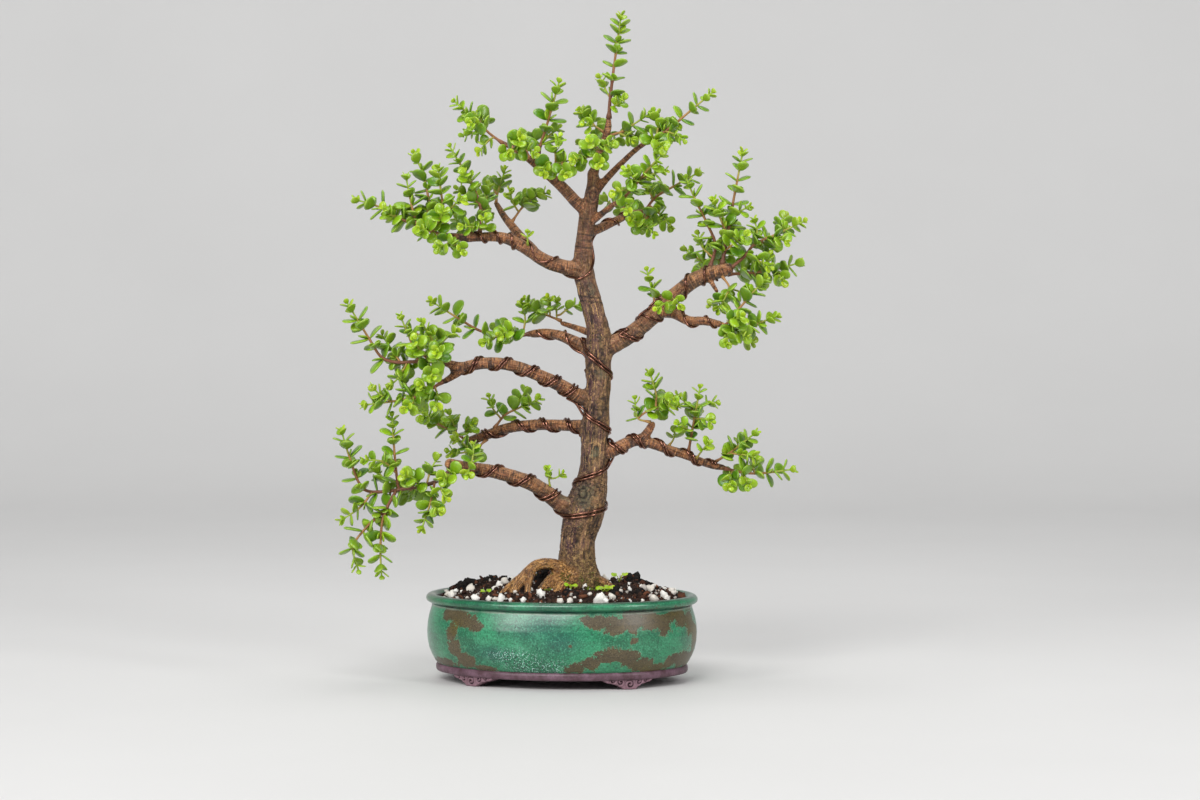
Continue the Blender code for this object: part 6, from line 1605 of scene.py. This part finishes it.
def make_crumbs(paint):
    """Loose crumbs over the soil, more of them on the clods, and white perlite, some at given places."""
    draw = np.random.default_rng(CRUMB_SEED)
    loose = scattered(CRUMBS, draw)
    x, y = np.hstack([loose, gathered(CLODS, 0.5, lambda radius: int(radius ** 2 * 1.1), draw)])
    east, north = from_pot(x, y)
    inside = (east / CRUMB_REACH) ** 2 + (north / (CRUMB_REACH - OVAL_DIFFERENCE)) ** 2 < 0.98
    x, y = x[inside], y[inside]
    clod = clod_share(x, y)
    count = len(x)
    size = np.exp(draw.normal(0.1, 0.5, count)) * (1 + 0.3 * clod)
    red = (draw.random(count) < 0.3 - 0.25 * clod).astype(float) * draw.uniform(0.4, 1, count)
    white = ((draw.random(count) < 0.10) & (clod < 0.5)).astype(float)
    squash = np.stack([1 + 1.3 * red * draw.random(count), np.full(count, 0.85), 0.75 - 0.4 * red], axis=1)
    z = rough_soil_height(x, y) + size * draw.uniform(-0.1, 0.5, count)
    make_stones("soil_crumbs", np.stack([x, y, z], axis=1), size, squash, (3, 6), draw, paint, "soil",
                black=clod, red=red, white=white * 0.55)

    x, y = scattered(LOOSE_PERLITE, draw)
    size = draw.uniform(1.6, 4.4, LOOSE_PERLITE)
    far = y > LOOSE_PERLITE_FRONT
    x, y, size = np.hstack([np.transpose(PERLITE), [x[far], y[far], size[far]]])
    east, north = from_pot(x, y)
    beyond = np.maximum(np.hypot(east / PERLITE_REACH, north / (PERLITE_REACH - OVAL_DIFFERENCE)), 1)
    x, y = pot_turned(east / beyond, north / beyond)
    squash = draw.uniform(0.65, 1.2, (len(x), 3)) * (1.1, 0.9, 0.8)
    places = np.stack([x, y, soil_height(x, y) + size * 0.35], axis=1)
    make_stones("soil_perlite", places, size, squash, (5, 9), draw, paint, "soil", dented=0.9,
                white=np.ones(len(x)))


def soil_paint():
    """Dark compost with reddish bark bits and chalky white perlite, each crumb its own shade."""
    paint = Paint("potting mix", Specular_IOR_Level=0.25)
    fine, grit = paint.noises(paint.place(), (1300.0, 3.0, 0.7), (330.0, 4.0, 0.7))
    shade, black, red, white = paint.attributes("shade", "black", "red", "white")
    chalk = paint.coats((214, 206, 194), (shade, (238, 236, 230)),
                        (grit.step(0.58, 0.74) * 0.5, (164, 146, 122)))
    colour = paint.coats(
        paint.mix(shade, (30, 21, 18), (64, 44, 33)),
        (grit.step(0.45, 0.62) * 0.7, (20, 15, 13)),
        (fine.step(0.6, 0.72) * 0.5, (116, 82, 54)),
        (black.step(0.2, 0.5) * 0.9, (15, 13, 12)),
        (red, paint.mix(shade, (58, 32, 24), (122, 74, 48))),
        (white, chalk))
    return paint.finish((fine * 0.6 + grit, 0.0006, 0.8), Base_Color=colour, Roughness=fine * 0.15 + 0.8)


def make_growth():
    """Moss tufts, as many small stones of moss, and seedlings, as rosettes of round leaves on stems."""
    draw = np.random.default_rng(GROWTH_SEED)
    x, y = gathered(MOSS_TUFTS, 0.42, lambda radius: int(radius * 7), draw)
    size = draw.uniform(0.7, 1.7, len(x))
    places = np.stack([x, y, rough_soil_height(x, y) + 0.5], axis=1)
    make_stones("moss_tufts", places, size, (1.0, 1.0, 0.8), (3, 6), draw, moss_paint(), "foliage")
    stems = []
    leaves = []
    for x, y, rise, radius in SEEDLINGS:
        ground = float(rough_soil_height(x, y))
        for turn in np.linspace(0, 2 * np.pi, 4, endpoint=False) + draw.uniform(0, 2):
            lean = draw.uniform(0.4, 1.0) * radius
            way = np.array((np.cos(turn), np.sin(turn), 0.12))
            tip = np.array((x, y, ground)) + (lean * way[0], lean * way[1], rise * draw.uniform(0.7, 1.1))
            root = np.array((x, y, ground - 1.5))
            line = smooth_route([root, (root + tip) / 2 + (0, 0, 0.2 * rise), tip], 1.0)
            stems.append(tube(line, np.full(len(line), 0.32), 5))
            upper = unit(np.cross(way, (-way[1], way[0], 0)) + (0, -1.1, 0))
            leaves.append((tip - unit(way) * 0.6, unit(way), upper, draw.uniform(4.8, 7.2), 1, 0, 0))
    make_piece("seedlings", leafy_mesh("seedlings", stems, leaves, draw)[0], [leaf_paint()])


def moss_paint():
    """Moss, from bright to dark green by tuft."""
    paint = Paint("moss", Roughness=0.85, Specular_IOR_Level=0.2)
    [fine] = paint.noises(paint.place(), (1500.0, 3.0, 0.7))
    [shade] = paint.attributes("shade")
    colour = paint.coats((62, 66, 24), (shade, (112, 124, 38)), (fine.step(0.5, 0.7), (48, 48, 24)))
    return paint.finish((fine, 0.0006, 0.9), Base_Color=colour)


def dress_screens():
    """The two mesh screens keep their solids and get moulded black plastic."""
    paint = Paint("black plastic mesh", Specular_IOR_Level=0.4)
    fine, dust = paint.noises(paint.place(), (1600.0, 3.0, 0.6), (200.0, 3.0, 0.6))
    colour = paint.mix(dust.step(0.4, 0.7), (26, 26, 28), (48, 44, 40))
    material = paint.finish((fine, 0.0001, 0.4), Base_Color=colour, Roughness=fine * 0.2 + 0.42)
    for side in ("left", "right"):
        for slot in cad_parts["drainage_screen_" + side].material_slots:
            slot.material = material


def make_stage():
    """A pale floor that rises behind in one curve: z = 0, then a quarter circle, then straight up."""
    across = np.linspace(-STAGE_HALF_WIDTH, STAGE_HALF_WIDTH, 3)
    bend = np.linspace(0, np.pi / 2, 17)
    depth = np.concatenate([[STAGE_FRONT, 0.0], STAGE_CURVE + STAGE_RADIUS * np.sin(bend),
                            [STAGE_CURVE + STAGE_RADIUS]])
    height = np.concatenate([[0.0, 0.0], STAGE_RADIUS * (1 - np.cos(bend)), [STAGE_TOP]])
    corners = np.stack([np.tile(across, len(depth)), np.repeat(depth, 3), np.repeat(height, 3)], axis=1) / MM
    floor = placed("floor", new_mesh("floor", corners, [grid_quads(len(depth), 3, closed=False)]))
    paint = Paint("pale floor", Roughness=0.6)
    [grain] = paint.noises(paint.place(), (3.0, 3.0, 0.5))
    floor.data.materials.append(paint.finish(Base_Color=paint.mix(grain, (210, 209, 207), (216, 215, 213))))


def light_and_camera():
    """Soft lamps turned to face the tree, a high light, the world's own light, and the camera."""
    for name, place, aim, size, power in SOFT_LAMPS:
        lamp = bpy.data.lights.new(name, "AREA")
        lamp.shape = "RECTANGLE"
        lamp.size, lamp.size_y = size
        lamp.energy = power
        thing = placed(name, lamp)
        thing.location = place
        thing.rotation_euler = (Vector((0, 0, aim)) - thing.location).to_track_quat("-Z", "Y").to_euler()
    high = bpy.data.lights.new("high light", "SUN")
    high.energy = HIGH_LIGHT_POWER
    high.angle = HIGH_LIGHT_WIDTH
    placed("high light", high).rotation_euler = HIGH_LIGHT_TURN
    world = bpy.data.worlds.new("studio")
    world.use_nodes = True
    background = world.node_tree.nodes["Background"]
    background.inputs["Color"].default_value = WORLD_COLOUR
    background.inputs["Strength"].default_value = WORLD_LIGHT
    bpy.context.scene.world = world
    lens = bpy.data.cameras.new("camera")
    lens.sensor_width = 36
    lens.lens = CAMERA_LENS
    camera = placed("camera", lens)
    camera.location = CAMERA_PLACE
    camera.rotation_euler = (np.radians(90 - CAMERA_DIP), 0, 0)
    bpy.context.scene.camera = camera
    bpy.context.scene.view_settings.view_transform = "Standard"


def main():
    light_and_camera()
    make_stage()
    make_pot()
    dress_screens()
    make_soil()
    make_growth()
    bark, field = make_wood()
    for shoot in make_sprays():
        field.add(shoot.line, stem_radius(shoot.length - shoot.along))
    make_wires(field, bark)


main()
bpy.context.view_layer.update()
